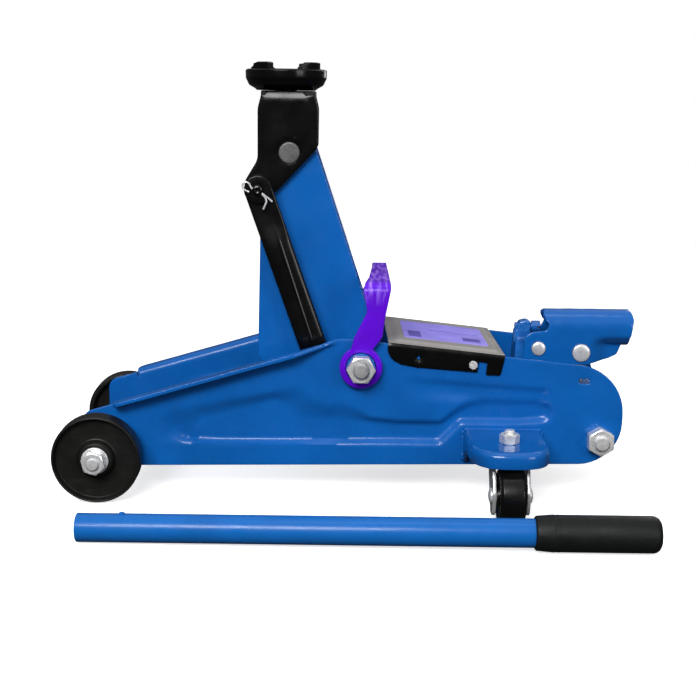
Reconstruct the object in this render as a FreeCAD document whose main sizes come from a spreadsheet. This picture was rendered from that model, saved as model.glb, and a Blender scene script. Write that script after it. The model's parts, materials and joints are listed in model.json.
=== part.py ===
"""Small hydraulic trolley jack with its loose pumping handle.

Millimetres. +X points to the handle socket (the rear), +Z is up and -Y is the jack's left side.
The origin is the point of the floor straight below the lift arm's main pivot, in the middle plane.
The jack stands as raised: every joint value is zero here.
"""
import FreeCAD, Part
import math
import os
import re

import Sketcher

SIZES = {
    # side plates
    "plate_outer": 57, "plate_thick": 3, "plate_front": -211.7, "plate_rear": 201.5,
    "front_bottom": 22.2, "rear_bottom": 27.9, "front_top": 64.1, "rear_top": 101.8,
    "flange_front": -187, "flange_rear": -17, "flange_low": 73.5, "flange_slope": 0.295,
    "flange_width": 12, "step_drop": 2.6, "crest_rear": 20.6, "crest_top": 120.6,
    "toe_round": 9, "tail_top_round": 38, "tail_low_round": 33,
    "sight_across": 170.3, "sight_up": 93.1, "sight_radius": 2.2,
    # front end
    "wheel_across": -198.5, "wheel_radius": 33.5, "wheel_inner": 65, "wheel_outer": 81.6,
    "rim_thick": 4, "wheel_recess": 6, "web_thick": 5, "boss_radius": 13, "sleeve_radius": 6,
    "wheel_play": 0.1, "bolt_radius": 5, "bolt_flats": 16, "bolt_head": 5, "nut_height": 8,
    "washer_radius": 10.3, "washer_thick": 1.6, "cross_front": -186, "cross_rear": -150,
    "cross_low": 22.8, "cross_thick": 3,
    # main pivot
    "pivot_up": 103, "shaft_radius": 8, "stud_radius": 6, "spacer_radius": 10,
    "collar_radius": 11.2, "collar_outer": 64.2, "large_nut_height": 10, "pivot_flats": 19,
    "stud_end": 78,
    # lift arm and parallelogram
    "pin_across": -56.1, "pin_up": 261.1, "arm_inner": 20, "arm_thick": 4.5,
    "crank_radius": 44, "crank_angle": 229, "crank_pin_radius": 5, "roller_radius": 9,
    "roller_half": 15, "arm_pin_radius": 8, "arm_pin_half": 31.6, "fit_play": 0.06,
    "link_back": -23.1, "link_drop": -27.4, "link_pin_radius": 4, "link_inner": 31,
    "link_depth": 8.4, "link_half": 10.7, "link_wall": 2.4, "link_play": 0.3,
    "link_pin_end": 45, "link_washer_radius": 10.5, "link_washer_thick": 1.4,
    "wire_radius": 0.9, "wire_eye": 3, "wire_reach": 6.4, "wire_slope": 18, "wire_inset": 2,
    # saddle and its bracket
    "bracket_inner": 25.5, "bracket_thick": 4.5, "bracket_top": 307, "bracket_front": -80,
    "bracket_rear": -34.6, "saddle_across": -59.7, "saddle_radius": 31.3, "saddle_floor": 308.6,
    "saddle_rim": 322.6, "lug_top": 328.2, "stem_radius": 8, "stem_low": 294, "saddle_hub": 10,
    "circlip_up": 299.5, "circlip_thick": 1.4, "circlip_radius": 11,
    # hydraulic unit
    "ram_up": 64, "ram_radius": 10, "head_radius": 14, "head_thick": 9, "ram_gap": 1.35,
    "ram_length": 101, "piston_radius": 11.94, "piston_thick": 12, "bore_radius": 12,
    "cylinder_radius": 17, "reservoir_radius": 25, "reservoir_wall": 2.5,
    "gland_front": 52, "gland_rear": 60, "block_front": 118, "block_rear": 196,
    "block_low": 36, "block_top": 80, "block_half": 33, "block_bore_end": 143,
    "rear_bolt_across": 184.3, "rear_bolt_up": 47.3, "rear_bolt_radius": 6,
    "plunger_across": 172, "plunger_radius": 6, "plunger_low": 50, "plunger_cap_radius": 9,
    "plunger_cap_thick": 4.3, "barrel_low": 44, "spring_radius": 7.6, "spring_wire": 0.8,
    "spring_turns": 5, "lug_half": 10.8, "crest_half": 5, "lug_front": 122,
    "valve_radius": 3, "dog_radius": 4.5,
    # handle socket
    "yoke_across": 141.5, "yoke_up": 109.8, "yoke_pin_radius": 5.5, "press_across": 175.6,
    "press_up": 106.7, "press_pin_radius": 7, "press_roller_radius": 7.2,
    "press_roller_half": 9, "press_neck_radius": 4.5, "socket_up": 125.2,
    "socket_bore": 11, "socket_wall": 3.5, "socket_front": 148, "socket_rear": 218,
    "socket_closed": 190, "yoke_front": 129, "yoke_low": 97, "pin_proud": 2.6,
    # cover over the hydraulic unit
    "cover_across": 20.6, "cover_up": 122.1, "cover_length": 89.5, "cover_half": 58.6,
    "cover_thick": 1.5, "cover_tilt": 5.9, "cover_skirt": 17, "screw_radius": 2,
    "label_front": 13, "label_length": 66, "label_half": 36, "label_thick": 0.25,
    # carry handle
    "bail_inner": 59.6, "bail_thick": 4, "bail_ring": 16.2, "bail_hole": 11.5,
    "bail_top": 167.5, "bail_front": 6, "bail_rear": 22,
    # castors
    "castor_across": 109.5, "castor_side": 96, "castor_width": 60, "shelf_top": 55,
    "shelf_thick": 4, "shelf_rim_low": 43, "shelf_wall": 3, "kingpin_radius": 4,
    "kingpin_flats": 13, "kingpin_nut": 7, "kingpin_end": 65, "fork_top": 48, "fork_thick": 3,
    "fork_radius": 16, "fork_inner": 11.2, "fork_wall": 2.6, "castor_trail": 17,
    "castor_radius": 20, "castor_half": 9.5, "castor_axle": 4,
    # loose handle
    "bar_radius": 10, "bar_wall": 1.8, "bar_left": -196, "bar_left_side": -162.6,
    "bar_length": 385, "bar_yaw": -1.9, "bar_tilt": -0.54, "grip_start": 314,
    "grip_collar": 10, "grip_radius": 13, "grip_length": 86, "button_along": 31.5,
    "button_radius": 2,
}

DOC = FreeCAD.newDocument("trolley_jack")
SHEET = DOC.addObject("Spreadsheet::Sheet", "Sizes")
for row, (alias, value) in enumerate(SIZES.items(), start=1):
    SHEET.set("A%d" % row, alias)
    SHEET.set("B%d" % row, str(value))
    SHEET.setAlias("B%d" % row, alias)
DOC.recompute()

ALIASES = re.compile(r"\b(%s)\b" % "|".join(SIZES))
SUB_PARTS = {}
AXES = {"X": FreeCAD.Vector(1, 0, 0), "Y": FreeCAD.Vector(0, 1, 0), "Z": FreeCAD.Vector(0, 0, 1)}
UPRIGHT = FreeCAD.Rotation()
ALONG_X = FreeCAD.Rotation(AXES["Y"], 90)      # a turned piece's own Z comes to lie along +X
TO_LEFT = FreeCAD.Rotation(AXES["X"], 90)      # its own Z comes to lie along -Y
PIN = ("pin_across", "pin_up")
PIVOT = ("0", "pivot_up")
CRANK = ("crank_radius * cos(crank_angle * 1 deg)",
         "pivot_up + crank_radius * sin(crank_angle * 1 deg)")
LINK_FOOT = ("link_back", "pivot_up + link_drop")
LINK_EYE = ("pin_across + link_back", "pin_up + link_drop")
PLATE_INNER = "(plate_outer - plate_thick)"


# ---------------------------------------------------------------- binding sizes to the sheet
def bound(expression):
    """The expression as the document reads it, with each size taken from the sheet."""
    return ALIASES.sub(r"Sizes.\1", str(expression))


def number(expression):
    value = SHEET.evalExpression(bound(expression))
    return float(getattr(value, "Value", value))


def bind(item, **sizes):
    for name, expression in sizes.items():
        item.setExpression(name, bound(expression))
    return item


def place(item, x="0", y="0", z="0", turn=UPRIGHT):
    item.Placement = FreeCAD.Placement(FreeCAD.Vector(number(x), number(y), number(z)), turn)
    for axis, expression in zip("xyz", (x, y, z)):
        item.setExpression("Placement.Base." + axis, bound(expression))
    return item


def keep(label, item):
    """Register a finished sub-part under the name of its node."""
    item.Label = label
    SUB_PARTS[label] = item
    return item


# ---------------------------------------------------------------- sketches and bodies
def new_body(name):
    return DOC.addObject("PartDesign::Body", name + "_body")


def new_sketch(body, plane, offset="0"):
    sketch = body.newObject("Sketcher::SketchObject", "outline")
    plane = next(item for item in body.Origin.OriginFeatures if item.Role == plane)
    sketch.AttachmentSupport = [(plane, "")]
    sketch.MapMode = "FlatFace"
    sketch.setExpression("AttachmentOffset.Base.z", bound(offset))
    return sketch


def fix_point(sketch, geometry, end, x=None, y=None):
    """Dimension a point of the sketch from the sketch's origin, both ways or one."""
    for kind, expression in (("DistanceX", x), ("DistanceY", y)):
        if expression is None:
            continue
        rule = Sketcher.Constraint(kind, -1, 1, geometry, end, number(expression))
        index = sketch.addConstraint(rule)
        sketch.setExpression("Constraints[%d]" % index, bound(expression))


def add_polygon(sketch, corners):
    first = sketch.GeometryCount
    points = [FreeCAD.Vector(number(x), number(y), 0) for x, y in corners]
    for index, point in enumerate(points):
        sketch.addGeometry(Part.LineSegment(point, points[(index + 1) % len(points)]), False)
    for index in range(len(points)):
        following = first + (index + 1) % len(points)
        sketch.addConstraint(Sketcher.Constraint("Coincident", first + index, 2, following, 1))
    for index, (x, y) in enumerate(corners):
        fix_point(sketch, first + index, 1, x, y)


def add_circle(sketch, x, y, radius):
    centre = FreeCAD.Vector(number(x), number(y), 0)
    index = sketch.addGeometry(Part.Circle(centre, AXES["Z"], number(radius)), False)
    fix_point(sketch, index, 3, x, y)
    rule = sketch.addConstraint(Sketcher.Constraint("Radius", index, number(radius)))
    sketch.setExpression("Constraints[%d]" % rule, bound(radius))


def add_feature(body, kind, profile, **sizes):
    feature = body.newObject("PartDesign::" + kind, kind.lower())
    feature.Profile = profile
    profile.Visibility = False
    return bind(feature, **sizes)


def plate_body(name, plane, corners, near, thick, holes=()):
    """A plate cut to an outline. near and thick run along the sketch's own normal."""
    body = new_body(name)
    sketch = new_sketch(body, plane, near)
    add_polygon(sketch, corners)
    for x, y, radius in holes:
        add_circle(sketch, x, y, radius)
    add_feature(body, "Pad", sketch, Length=thick)
    DOC.recompute()
    return body


def cut_through(body, plane, corners=(), holes=(), near="0", both_ways=True, depth=None):
    """Take an outline or round holes out of a body, and make sure that something was removed."""
    before = body.Shape.Volume
    sketch = new_sketch(body, plane, near)
    if corners:
        add_polygon(sketch, corners)
    for x, y, radius in holes:
        add_circle(sketch, x, y, radius)
    pocket = add_feature(body, "Pocket", sketch)
    if depth:
        bind(pocket, Length=depth)
        pocket.Midplane = both_ways
    else:
        pocket.Type = "ThroughAll"
        pocket.Midplane = both_ways
    DOC.recompute()
    if body.Shape.Volume > before - 0.5:
        raise RuntimeError("%s: a pocket removed nothing" % body.Name)
    return body


def add_pad(body, plane, corners, near, thick):
    sketch = new_sketch(body, plane, near)
    add_polygon(sketch, corners)
    add_feature(body, "Pad", sketch, Length=thick)
    DOC.recompute()
    return body


def round_edges(body, radius, chosen):
    """Fillet every edge of the body for which chosen(edge) holds."""
    tip = body.Tip
    names = ["Edge%d" % (i + 1) for i, edge in enumerate(tip.Shape.Edges) if chosen(edge)]
    if not names:
        raise RuntimeError("%s: no edge to round" % body.Name)
    fillet = body.newObject("PartDesign::Fillet", "rounding")
    fillet.Base = (tip, names)
    bind(fillet, Radius=radius)
    DOC.recompute()
    return body


def runs_along(axis, **at):
    """A test for straight edges along an axis whose middle lies at the given coordinates."""
    wanted = {name: number(value) for name, value in at.items()}

    def chosen(edge):
        if not isinstance(edge.Curve, Part.Line):
            return False
        if abs(abs(edge.Curve.Direction.dot(AXES[axis])) - 1) > 1e-6:
            return False
        middle = edge.CenterOfMass
        return all(abs(getattr(middle, name) - value) < 0.05 for name, value in wanted.items())
    return chosen


def lies_at(edge, height):
    """Whether an edge lies flat at the given height."""
    return all(abs(vertex.Z - number(height)) < 0.01 for vertex in edge.Vertexes)


def turned(name, profile, x="0", y="0", z="0", turn=UPRIGHT):
    """A piece turned about its own Z from (radius, height) corners, then set in place."""
    body = new_body(name)
    sketch = new_sketch(body, "XZ_Plane")
    add_polygon(sketch, profile)
    revolution = add_feature(body, "Revolution", sketch)
    revolution.ReferenceAxis = (sketch, ["V_Axis"])
    revolution.Angle = 360
    place(body, x, y, z, turn)
    DOC.recompute()
    return body


def ring_profile(inner, outer, low, high):
    return [(inner, low), (outer, low), (outer, high), (inner, high)]


def stepped_profile(*steps):
    """Corners of a solid turned from steps of (radius, low, high), listed from the bottom up."""
    corners = [("0", steps[0][1])]
    for radius, low, high in steps:
        corners += [(radius, low), (radius, high)]
    return corners + [("0", steps[-1][2])]


def rod(name, radius, length, x, y, z, turn):
    cylinder = DOC.addObject("Part::Cylinder", name)
    bind(cylinder, Radius=radius, Height=length)
    return place(cylinder, x, y, z, turn)


def hexagon(name, flats, height, hole, x, y, z, turn):
    """A hexagon nut, or a bolt's head where hole is None."""
    prism = DOC.addObject("Part::Prism", name + "_hexagon")
    prism.Polygon = 6
    bind(prism, Circumradius="(%s) / sqrt(3)" % flats, Height=height)
    if hole is None:
        return place(prism, x, y, z, turn)
    drill = DOC.addObject("Part::Cylinder", name + "_hole")
    bind(drill, Radius=hole, Height=height)
    nut = DOC.addObject("Part::Cut", name)
    nut.Base, nut.Tool = prism, drill
    return place(nut, x, y, z, turn)


def fused(name, *pieces):
    union = DOC.addObject("Part::MultiFuse", name)
    union.Shapes = list(pieces)
    union.Refine = True
    return union


def mirrored(name, source):
    """The same piece on the jack's right side."""
    mirror = DOC.addObject("Part::Mirroring", name)
    mirror.Source = source
    mirror.Normal = AXES["Y"]
    return mirror


def keep_pair(label, left):
    """Two like fasteners, one on each side, kept as one node."""
    pair = DOC.addObject("Part::Compound", label)
    pair.Links = [left, mirrored(label + "_right", left)]
    return keep(label, pair)


def keep_sides(name, left):
    keep(name + "_left", left)
    keep(name + "_right", mirrored(name + "_right", left))


# ---------------------------------------------------------------- frame
def side_plates():
    flange_high = "(flange_low + (flange_rear - flange_front) * flange_slope)"
    corners = [
        ("plate_front", "front_bottom"), ("plate_front", "front_top"),
        ("flange_front", "flange_low - step_drop"), ("flange_front", "flange_low"),
        ("flange_rear", flange_high), ("flange_rear + 13", flange_high),
        ("crest_rear", "crest_top"), ("plate_rear", "rear_top"), ("plate_rear", "rear_bottom")]
    holes = [("wheel_across", "wheel_radius", "bolt_radius"), PIVOT + ("shaft_radius",),
             ("rear_bolt_across", "rear_bolt_up", "rear_bolt_radius"),
             ("sight_across", "sight_up", "sight_radius"),
             ("cover_across + 64.6", "cover_up - 16.9", "screw_radius")]
    plate = plate_body("side_plate", "XZ_Plane", corners, PLATE_INNER, "plate_thick", holes)
    flange = [("flange_front", "flange_low"), ("flange_rear", flange_high),
              ("flange_rear", flange_high + " - plate_thick"),
              ("flange_front", "flange_low - plate_thick")]
    add_pad(plate, "XZ_Plane", flange, PLATE_INNER, "plate_thick + flange_width")
    round_edges(plate, "toe_round", runs_along("Y", x="plate_front"))
    round_edges(plate, "tail_top_round", runs_along("Y", x="plate_rear", z="rear_top"))
    round_edges(plate, "tail_low_round", runs_along("Y", x="plate_rear", z="rear_bottom"))
    tip_side = "-(plate_outer + flange_width)"
    round_edges(plate, "toe_round * 0.7", lambda edge: (
        runs_along("Z", y=tip_side)(edge)))
    keep_sides("side_plate", plate)


def front_cross_plate():
    corners = [("cross_front", "-" + PLATE_INNER), ("cross_rear", "-" + PLATE_INNER),
               ("cross_rear", PLATE_INNER), ("cross_front", PLATE_INNER)]
    keep("front_cross_plate",
         plate_body("front_cross_plate", "XY_Plane", corners, "cross_low", "cross_thick"))


def wheel_fixings():
    """Shoulder sleeve, bolt, washer and nut of each front wheel."""
    at = ("wheel_across", "0", "wheel_radius", TO_LEFT)
    sleeve = turned("wheel_sleeve", [
        ("bolt_radius", "plate_outer"), ("boss_radius - 3", "plate_outer"),
        ("boss_radius - 3", "wheel_inner - 0.3"), ("sleeve_radius", "wheel_inner - 0.3"),
        ("sleeve_radius", "wheel_outer + 0.3"), ("bolt_radius", "wheel_outer + 0.3")], *at)
    keep_pair("wheel_sleeves", sleeve)
    face = "(wheel_outer + 0.3)"
    washer = turned("wheel_washer", ring_profile(
        "bolt_radius", "washer_radius", face, face + " + washer_thick"), *at)
    keep_pair("wheel_washers", washer)
    seat = face + " + washer_thick"
    nut = hexagon("wheel_nut", "bolt_flats", "nut_height", "bolt_radius",
                  "wheel_across", "-(%s)" % seat, "wheel_radius", TO_LEFT)
    keep_pair("wheel_nuts", nut)
    length = "%s + nut_height + 2.5 - %s" % (seat, PLATE_INNER)
    shank = rod("wheel_bolt_shank", "bolt_radius", length,
                "wheel_across", "-" + PLATE_INNER, "wheel_radius", TO_LEFT)
    head = hexagon("wheel_bolt_head", "bolt_flats", "bolt_head", None,
                   "wheel_across", "-%s + bolt_head" % PLATE_INNER, "wheel_radius", TO_LEFT)
    keep_pair("wheel_bolts", fused("wheel_bolt", shank, head))


def main_pivot():
    """Shaft across the frame with a collar for the carry handle and a nut at each end."""
    shaft = turned("pivot_shaft", stepped_profile(
        ("stud_radius", "-stud_end", "-plate_outer"), ("shaft_radius", "-plate_outer", "plate_outer"),
        ("stud_radius", "plate_outer", "stud_end")), "0", "0", "pivot_up", TO_LEFT)
    keep("pivot_shaft", shaft)
    at = ("0", "0", "pivot_up", TO_LEFT)
    keep_pair("pivot_spacers", turned("pivot_spacer", ring_profile(
        "shaft_radius", "spacer_radius", "arm_inner + arm_thick + 0.3", PLATE_INNER), *at))
    keep_pair("pivot_collars", turned("pivot_collar", ring_profile(
        "stud_radius", "collar_radius", "plate_outer", "collar_outer"), *at))
    nut = hexagon("pivot_nut", "pivot_flats", "large_nut_height", "stud_radius",
                  "0", "-collar_outer", "pivot_up", TO_LEFT)
    rear_nut = hexagon("rear_nut", "pivot_flats", "large_nut_height", "rear_bolt_radius",
                       "rear_bolt_across", "-plate_outer", "rear_bolt_up", TO_LEFT)
    nuts = DOC.addObject("Part::Compound", "large_nuts")
    nuts.Links = [nut, mirrored("pivot_nut_right", nut), rear_nut]
    keep("large_nuts", nuts)


def link_studs():
    """Studs welded inside the side plates, on which the levelling links turn."""
    stud = turned("link_stud", stepped_profile(
        ("link_pin_radius", "link_inner - 0.4", "link_inner + link_depth + 0.4"),
        ("link_pin_radius * 1.8", "link_inner + link_depth + 0.4", PLATE_INNER)),
        LINK_FOOT[0], "0", LINK_FOOT[1], TO_LEFT)
    keep_pair("link_studs", stud)


def rear_cross_bolt():
    at = ("rear_bolt_across", "0", "rear_bolt_up", TO_LEFT)
    shank = rod("rear_bolt_shank", "rear_bolt_radius", "2 * plate_outer + large_nut_height + 4",
                "rear_bolt_across", "plate_outer", "rear_bolt_up", TO_LEFT)
    head = hexagon("rear_bolt_head", "pivot_flats", "bolt_head * 1.5", None, "rear_bolt_across",
                   "plate_outer + bolt_head * 1.5", "rear_bolt_up", TO_LEFT)
    keep("rear_bolt", fused("rear_bolt", shank, head))
    keep_pair("rear_spacers", turned("rear_spacer", ring_profile(
        "rear_bolt_radius", "spacer_radius", "block_half", PLATE_INNER), *at))


def cover():
    """Folded lid over the hydraulic unit: a sloping top with a skirt down each side plate."""
    body = plate_body("cover_plate", "XY_Plane", [
        ("0", "-cover_half"), ("cover_length", "-cover_half"), ("cover_length", "cover_half"),
        ("0", "cover_half")], "-cover_thick", "cover_thick")
    skirt = [("0", "-cover_thick"), ("0", "-cover_skirt * 0.55"), ("8", "-cover_skirt * 0.9"),
             ("20", "-cover_skirt"), ("70", "-cover_skirt * 0.92"), ("70", "-cover_skirt * 0.4"),
             ("77", "-cover_skirt * 0.4"), ("77", "-cover_skirt"),
             ("cover_length", "-cover_skirt * 0.94"), ("cover_length", "-cover_thick")]
    for near in ("cover_half - cover_thick", "-cover_half"):
        add_pad(body, "XZ_Plane", skirt, near, "cover_thick")
    cut_through(body, "XZ_Plane", holes=[("24.5", "-10", "screw_radius * 1.4"),
                                         ("66", "-10.2", "screw_radius + fit_play")])
    tilt = FreeCAD.Rotation(AXES["Y"], SIZES["cover_tilt"])
    keep("cover_plate", place(body, "cover_across", "0", "cover_up", tilt))
    screw = turned("cover_screw", stepped_profile(
        ("screw_radius", PLATE_INNER + " - 3", "cover_half"),
        ("screw_radius * 1.5", "cover_half", "cover_half + 2")),
        "cover_across + 64.6", "0", "cover_up - 16.9", TO_LEFT)
    keep_pair("cover_screws", screw)
    label = DOC.addObject("Part::Box", "cover_label")
    bind(label, Length="label_length", Width="2 * label_half", Height="label_thick")
    label.Placement = body.Placement.multiply(FreeCAD.Placement(
        FreeCAD.Vector(number("label_front"), -number("label_half"), 0), UPRIGHT))
    keep("cover_label", label)


# ---------------------------------------------------------------- front wheels and castors
def front_wheels():
    recess = "(wheel_outer - wheel_recess)"
    profile = [
        ("sleeve_radius + wheel_play", "wheel_inner"), ("boss_radius", "wheel_inner"),
        ("boss_radius", recess + " - web_thick"),
        ("wheel_radius - rim_thick", recess + " - web_thick"),
        ("wheel_radius - rim_thick", "wheel_inner"), ("wheel_radius", "wheel_inner"),
        ("wheel_radius", "wheel_outer"), ("wheel_radius - rim_thick", "wheel_outer"),
        ("wheel_radius - rim_thick", recess), ("boss_radius", recess),
        ("boss_radius", "wheel_outer"), ("sleeve_radius + wheel_play", "wheel_outer")]
    wheel = turned("front_wheel", profile, "wheel_across", "0", "wheel_radius", TO_LEFT)
    keep_sides("front_wheel", wheel)


def castor_brackets():
    """Stamped shelf welded to each side plate, its round edge turned down."""
    half = "castor_width / 2"
    side = "-castor_side"
    body = new_body("castor_bracket")
    sketch = new_sketch(body, "XY_Plane", "shelf_rim_low")
    shelf_outline(sketch, half, "-plate_outer")
    add_feature(body, "Pad", sketch, Length="shelf_top - shelf_rim_low")
    DOC.recompute()
    round_edges(body, "shelf_wall + 1.5", lambda edge: lies_at(edge, "shelf_top")
                and edge.CenterOfMass.y < -60)
    before = body.Shape.Volume
    inside = new_sketch(body, "XY_Plane", "shelf_top - shelf_thick")
    shelf_outline(inside, half + " - shelf_wall", "-plate_outer")
    add_feature(body, "Pocket", inside, Length="shelf_top")
    DOC.recompute()
    if body.Shape.Volume > before * 0.7:
        raise RuntimeError("castor_bracket: the hollow was not cut")
    cut_through(body, "XY_Plane", holes=[("castor_across", side, "kingpin_radius")],
                near="shelf_top + 1")
    keep_sides("castor_bracket", body)


def shelf_outline(sketch, half, root):
    """Straight sides from the side plate, closed by a half circle about the kingpin."""
    left, right = "castor_across - (%s)" % half, "castor_across + (%s)" % half
    side = "-castor_side"
    points = [(left, side), (left, root), (right, root), (right, side)]
    vectors = [FreeCAD.Vector(number(x), number(y), 0) for x, y in points]
    for start, end in zip(vectors, vectors[1:]):
        sketch.addGeometry(Part.LineSegment(start, end), False)
    bottom = FreeCAD.Vector(number("castor_across"), number(side) - number(half), 0)
    sketch.addGeometry(Part.Arc(vectors[0], bottom, vectors[3]), False)
    for first in (0, 1):
        sketch.addConstraint(Sketcher.Constraint("Coincident", first, 2, first + 1, 1))
    sketch.addConstraint(Sketcher.Constraint("Coincident", 2, 2, 3, 2))
    sketch.addConstraint(Sketcher.Constraint("Coincident", 0, 1, 3, 1))
    for index, point in enumerate(points[:3]):
        fix_point(sketch, index, 1, *point)
    fix_point(sketch, 2, 2, *points[3])
    fix_point(sketch, 3, 3, y=side)


def castor_fixings():
    x, y = "castor_across", "-castor_side"
    head_low = "(fork_top - fork_thick - 4)"
    pin = turned("kingpin", stepped_profile(
        ("kingpin_radius * 1.7", head_low, "fork_top - fork_thick - 0.1"),
        ("kingpin_radius", "fork_top - fork_thick - 0.1", "kingpin_end")), x, y, "0")
    keep_pair("kingpins", pin)
    keep_pair("kingpin_nuts", hexagon("kingpin_nut", "kingpin_flats", "kingpin_nut",
                                      "kingpin_radius", x, y, "shelf_top", UPRIGHT))
    keep_pair("thrust_washers", turned("thrust_washer", ring_profile(
        "kingpin_radius", "fork_radius - 4", "fork_top + 0.1", "shelf_top - shelf_thick"), x, y, "0"))


def castors():
    """Fork with two cheeks, riveted axle and wheel. Both castors trail outwards."""
    x, side, trail = "castor_across", "-castor_side", "-(castor_side + castor_trail)"
    fork = new_body("castor_fork")
    sketch = new_sketch(fork, "XY_Plane", "fork_top - fork_thick")
    reach = "(fork_inner + fork_wall)"
    add_polygon(sketch, [
        (x + " - " + reach, side + " + 11"), (x + " + " + reach, side + " + 11"),
        (x + " + " + reach, side + " - 15"), (x + " - " + reach, side + " - 15")])
    add_feature(fork, "Pad", sketch, Length="fork_thick")
    cheek = [(side + " + 11", "fork_top"), (side + " + 8", "fork_top - 10"),
             (trail + " + 7", "castor_radius - 10"), (trail + " - 5", "castor_radius - 11"),
             (trail + " - 10", "castor_radius"), (side + " - 15", "fork_top")]
    for near in ("castor_across + fork_inner", "castor_across - fork_inner - fork_wall"):
        add_pad(fork, "YZ_Plane", cheek, near, "fork_wall")
    round_edges(fork, "5", lambda edge: runs_along("X")(edge)
                and edge.CenterOfMass.z < 21 and edge.Length < 4)
    cut_through(fork, "XY_Plane", holes=[(x, side, "kingpin_radius + 0.1")], near="fork_top + 1",
                both_ways=False, depth="fork_thick + 2")
    cut_through(fork, "YZ_Plane", holes=[(trail, "castor_radius", "castor_axle")])
    keep_sides("castor_fork", fork)
    axle = turned("castor_axle", stepped_profile(
        ("castor_axle * 1.4", "-%s - 2.4" % reach, "-%s" % reach),
        ("castor_axle", "-%s" % reach, reach),
        ("castor_axle * 1.4", reach, "%s + 2.4" % reach)), x, trail, "castor_radius", ALONG_X)
    keep_sides("castor_axle", axle)
    edge = "1.6"
    wheel = turned("castor_wheel", [
        ("castor_axle + wheel_play", "-castor_half - 1"), ("castor_axle * 2", "-castor_half - 1"),
        ("castor_axle * 2", "-castor_half"), ("castor_radius - " + edge, "-castor_half"),
        ("castor_radius", "-castor_half + " + edge), ("castor_radius", "castor_half - " + edge),
        ("castor_radius - " + edge, "castor_half"), ("castor_axle * 2", "castor_half"),
        ("castor_axle * 2", "castor_half + 1"), ("castor_axle + wheel_play", "castor_half + 1")],
        x, trail, "castor_radius", ALONG_X)
    keep_sides("castor_wheel", wheel)


# ---------------------------------------------------------------- lift arm, links and saddle
def lift_arm():
    """Two cheeks, a web down their rear edge and a hub; the crank end takes the ram's roller."""
    outline = [
        ("pin_across + 19.5", "pin_up + 5"), ("8", "pivot_up + 31"), ("17.5", "pivot_up + 5"),
        ("17.5", "pivot_up - 9"), (CRANK[0] + " + 11", CRANK[1] + " - 9"),
        (CRANK[0] + " - 7", CRANK[1] + " - 12"), (CRANK[0] + " - 14", CRANK[1] + " - 2"),
        ("-80", "pivot_up - 1"), ("-78", "pin_up - 45"), ("pin_across - 14", "pin_up + 3"),
        ("pin_across - 9", "pin_up + 12"), ("pin_across + 13", "pin_up + 13")]
    whole = "2 * (arm_inner + arm_thick)"
    arm = plate_body("lift_arm", "XZ_Plane", outline, "-(arm_inner + arm_thick)", whole)
    hollow = [
        ("pin_across - 60", "pin_up + 40"), ("pin_across + 17.5", "pin_up + 40"),
        ("pin_across + 17.5", "pin_up - 6"), ("3.2", "pivot_up + 31"), ("17.5", "pivot_up - 12"),
        ("60", "pivot_up - 12"), ("60", "-30"), ("-120", "-30"), ("-120", "pin_up + 40")]
    cut_through(arm, "XZ_Plane", hollow, depth="2 * arm_inner")
    hub = new_sketch(arm, "XZ_Plane", "-(arm_inner + 1)")
    add_circle(hub, *PIVOT, "spacer_radius + 3.5")
    add_feature(arm, "Pad", hub, Length="2 * (arm_inner + 1)")
    DOC.recompute()
    round_edges(arm, "toe_round", lambda edge: runs_along("Y")(edge) and (
        abs(edge.CenterOfMass.x + 80) < 0.1 or edge.CenterOfMass.z > number("pin_up") + 11))
    cut_through(arm, "XZ_Plane", holes=[
        PIVOT + ("shaft_radius + fit_play",), PIN + ("arm_pin_radius + fit_play",),
        CRANK + ("crank_pin_radius",)])
    keep("lift_arm", arm)
    half = "(arm_inner + arm_thick)"
    keep("crank_pin", rod("crank_pin", "crank_pin_radius", "2 * " + half,
                          CRANK[0], half, CRANK[1], TO_LEFT))
    keep("crank_roller", turned("crank_roller", ring_profile(
        "crank_pin_radius + fit_play", "roller_radius", "-roller_half", "roller_half"),
        CRANK[0], "0", CRANK[1], TO_LEFT))


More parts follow.
